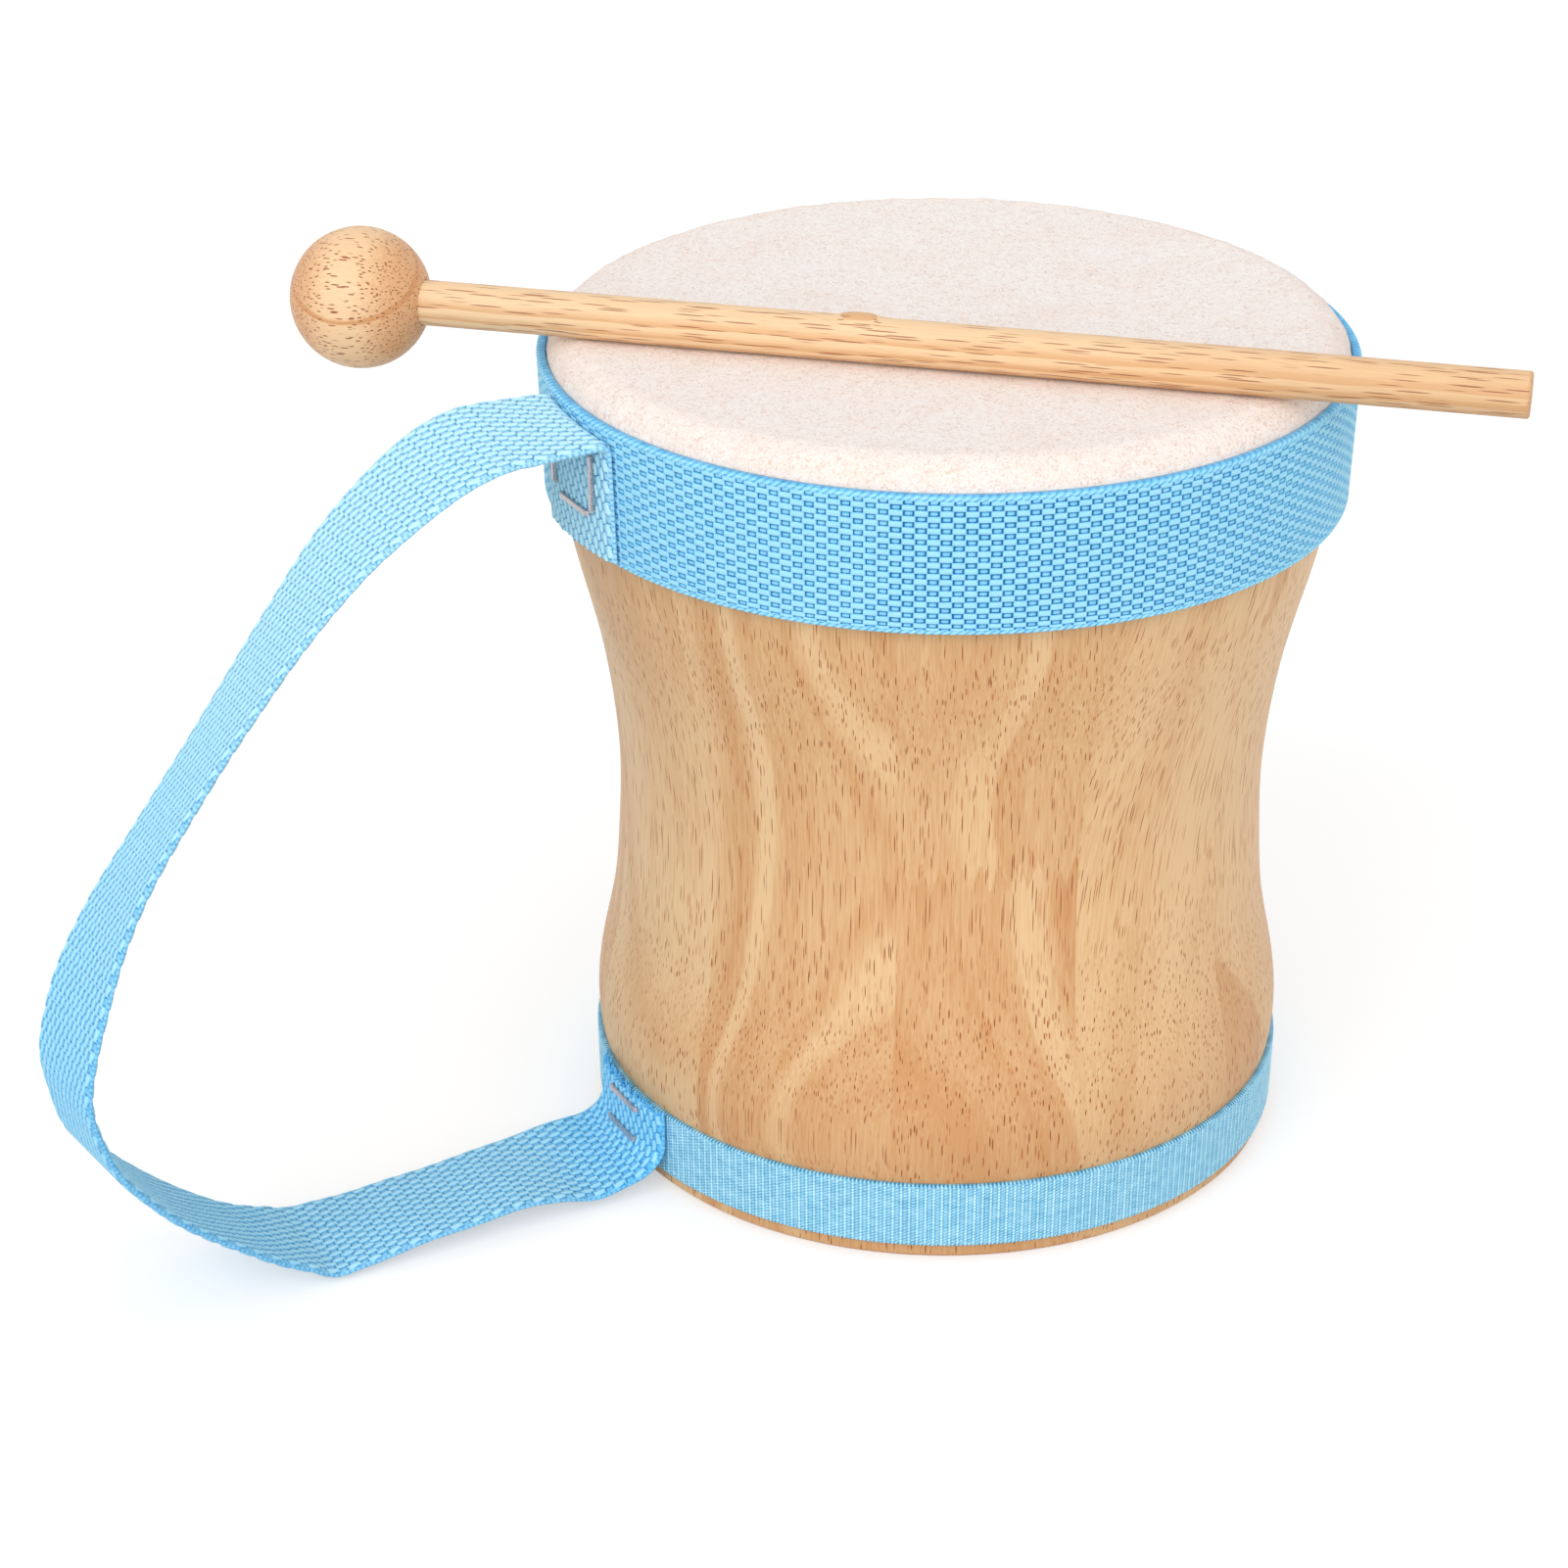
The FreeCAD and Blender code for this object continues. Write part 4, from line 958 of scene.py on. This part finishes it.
def mallet_wood(name, dark, pale, sharp, pore_cover, **grain_values):
    """Wood of the ball or the dowel. Each ring is dark over the first share of it, which sharp gives."""
    material, tree, shader = finish(name, Specular_IOR_Level=0.4)
    grain = placed_effect(tree, mallet_rings, **grain_values)
    fades = eased(tree, grain["Ring"], 1.0, 0.98)
    ring = sum_of(tree, "MULTIPLY", eased(tree, grain["Ring"], 0.0, sharp), fades)
    pale_share = sum_of(tree, "ADD", ring, eased(tree, grain["Streak"], 0.3, 0.7, -0.2, 0.2))
    faces = vector_of(tree, "DOT_PRODUCT", put(tree, "TexCoord").outputs["Normal"], MALLET_FORWARD)
    end_grain = eased(tree, sum_of(tree, "ABSOLUTE", faces), 0.1, 0.7, 0.0, 0.7)
    pale_share = sum_of(tree, "SUBTRACT", pale_share, end_grain)
    darker = eased(tree, grain["Along"], DARKER_FROM, DARKER_TO, 0.0, 0.45)
    pale_share = sum_of(tree, "SUBTRACT", pale_share, darker)
    board = two_colours(tree, pale_share, linear(*dark), linear(*pale))
    cover = sum_of(tree, "MULTIPLY", grain["Pore"], pore_cover)
    tree.links.new(two_colours(tree, cover, board, PORE_DARK), shader.inputs["Base Color"])
    tree.links.new(eased(tree, grain["Streak"], 0.3, 0.7, 0.38, 0.5), shader.inputs["Roughness"])
    fibre = sum_of(tree, "MULTIPLY", grain["Streak"], 0.3)
    raised(tree, shader, sum_of(tree, "SUBTRACT", fibre, cover), MALLET_RELIEF)
    return material


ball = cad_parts["mallet_ball"]
dress(ball, mallet_wood("ball_wood", (212, 152, 102), (240, 202, 158), sharp=0.035, pore_cover=0.9,
                        Facing=(0.023, -0.494, 0.869), Start=6.2, Bend=0.0, Spacing=24.0,
                        Pore_Shape=(0.32, 2.1, 2.1)))

# Mallet dowel
# A straight 8 mm dowel, 200 mm long, glued in the ball. It is sawn square at its free end, and
# a small knot stands out on top near its middle, with darker grain sweeping under it.
DOWEL_RADIUS = 4.0
DOWEL_START = 4.1
DOWEL_LENGTH = 200.0
DOWEL_EDGE = 0.3
DOWEL_SIDES = 64
KNOT_AT, KNOT_HALF, KNOT_HEIGHT = 86.0, 3.2, 0.7
stations = np.concatenate([[0, 0, 0.4], np.linspace(1.0, DOWEL_LENGTH - 1.0, 420),
                           [DOWEL_LENGTH - DOWEL_EDGE, DOWEL_LENGTH, DOWEL_LENGTH]])
radii = np.full(len(stations), DOWEL_RADIUS)
radii[[0, -1]] = 0.01
radii[[1, -2]] = DOWEL_RADIUS - DOWEL_EDGE
angle = np.arange(DOWEL_SIDES) * 2 * math.pi / DOWEL_SIDES
along_dowel, round_dowel = np.meshgrid(stations, angle, indexing="ij")
knot = np.exp(-((along_dowel - KNOT_AT) / KNOT_HALF) ** 4)
knot = knot * np.clip(np.cos(round_dowel - math.pi / 2), 0, 1) ** 6
radius = radii[:, None] + KNOT_HEIGHT * knot
centre = np.array(BALL_CENTRE)
forward = np.array(MALLET_FORWARD)
sideways = np.array([-forward[1], forward[0], 0.0])
points = centre + (DOWEL_START + along_dowel)[..., None] * forward
points = points + (radius * np.cos(round_dowel))[..., None] * sideways
points = points + (radius * np.sin(round_dowel))[..., None] * np.array([0.0, 0.0, 1.0])
dowel_faces = grid_faces(len(stations), DOWEL_SIDES, close_b=True)
dowel = surface("mallet_dowel", points.reshape(-1, 3), [dowel_faces])
dress(dowel, mallet_wood("dowel_wood", (218, 170, 122), (238, 203, 160), sharp=0.8, pore_cover=0.75,
                         Facing=(0.0, -0.2, 0.98), Start=0.0, Bend=0.03, Spacing=2.4,
                         Pore_Shape=(0.09, 2.3, 2.3)))
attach(dowel, "mallet")
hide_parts("mallet_handle")

# Floor, light and camera
# A plain white floor under soft studio light from above and both sides, seen from the front and
# above through a long lens. The floor and the sky read as white paper and keep the soft shadow.


def seen_directly(tree):
    """1 for what the camera, a gloss or glass sees."""
    rays = put(tree, "LightPath").outputs
    seen = sum_of(tree, "MAXIMUM", rays["Is Camera Ray"], rays["Is Glossy Ray"])
    return sum_of(tree, "MAXIMUM", seen, rays["Is Transmission Ray"])


FLOOR_HALF = 4.0
FLOOR_GREY = 0.64
FLOOR_GLOW = 0.46
mesh = bpy.data.meshes.new("floor")
mesh.from_pydata([(-FLOOR_HALF, -FLOOR_HALF, 0), (FLOOR_HALF, -FLOOR_HALF, 0), (FLOOR_HALF, FLOOR_HALF, 0),
                  (-FLOOR_HALF, FLOOR_HALF, 0)], [], [(0, 1, 2, 3)])
floor = bpy.data.objects.new("floor", mesh)
bpy.context.scene.collection.objects.link(floor)
material, tree, shader = finish("white_paper", Roughness=0.9, Specular_IOR_Level=0.0)
shader.inputs["Base Color"].default_value = (FLOOR_GREY, FLOOR_GREY, FLOOR_GREY, 1.0)
shader.inputs["Emission Color"].default_value = (1.0, 1.0, 1.0, 1.0)
tree.links.new(sum_of(tree, "MULTIPLY", seen_directly(tree), FLOOR_GLOW), shader.inputs["Emission Strength"])
dress(floor, material)

world = bpy.data.worlds.new("studio")
bpy.context.scene.world = world
world.use_nodes = True
tree = world.node_tree
sky = tree.nodes["Background"]
sky.inputs["Color"].default_value = (1.0, 1.0, 1.0, 1.0)
AMBIENT = 0.74
strength = put(tree, "Mix", {0: seen_directly(tree), 2: AMBIENT, 3: 1.0}).outputs[0]
tree.links.new(strength, sky.inputs["Strength"])


def soft_lamp(name, azimuth, elevation, strength, spread):
    """A distant soft lamp that shines from an azimuth and elevation in degrees."""
    lamp = bpy.data.lights.new(name, "SUN")
    lamp.energy = strength
    lamp.angle = math.radians(spread)
    holder = bpy.data.objects.new(name, lamp)
    a, e = math.radians(azimuth), math.radians(elevation)
    toward = Vector((math.cos(a) * math.cos(e), math.sin(a) * math.cos(e), math.sin(e)))
    holder.rotation_mode = "QUATERNION"
    holder.rotation_quaternion = toward.to_track_quat("Z", "Y")
    bpy.context.scene.collection.objects.link(holder)


soft_lamp("key", -124.0, 32.0, 1.05, 50.0)
soft_lamp("fill", -66.0, 24.0, 0.75, 60.0)

camera = bpy.data.objects.new("camera", bpy.data.cameras.new("camera"))
bpy.context.scene.collection.objects.link(camera)
bpy.context.scene.camera = camera
camera.data.lens = 91.41
camera.data.sensor_width = 36.0
camera.location = (-0.029137, -0.668971, 0.397235)
looks_at = Vector((-0.02914, 0.0, 0.06388))
aim = looks_at - camera.location
camera.rotation_mode = "QUATERNION"
camera.rotation_quaternion = aim.to_track_quat("-Z", "Y")
bpy.context.scene.view_settings.view_transform = "Standard"
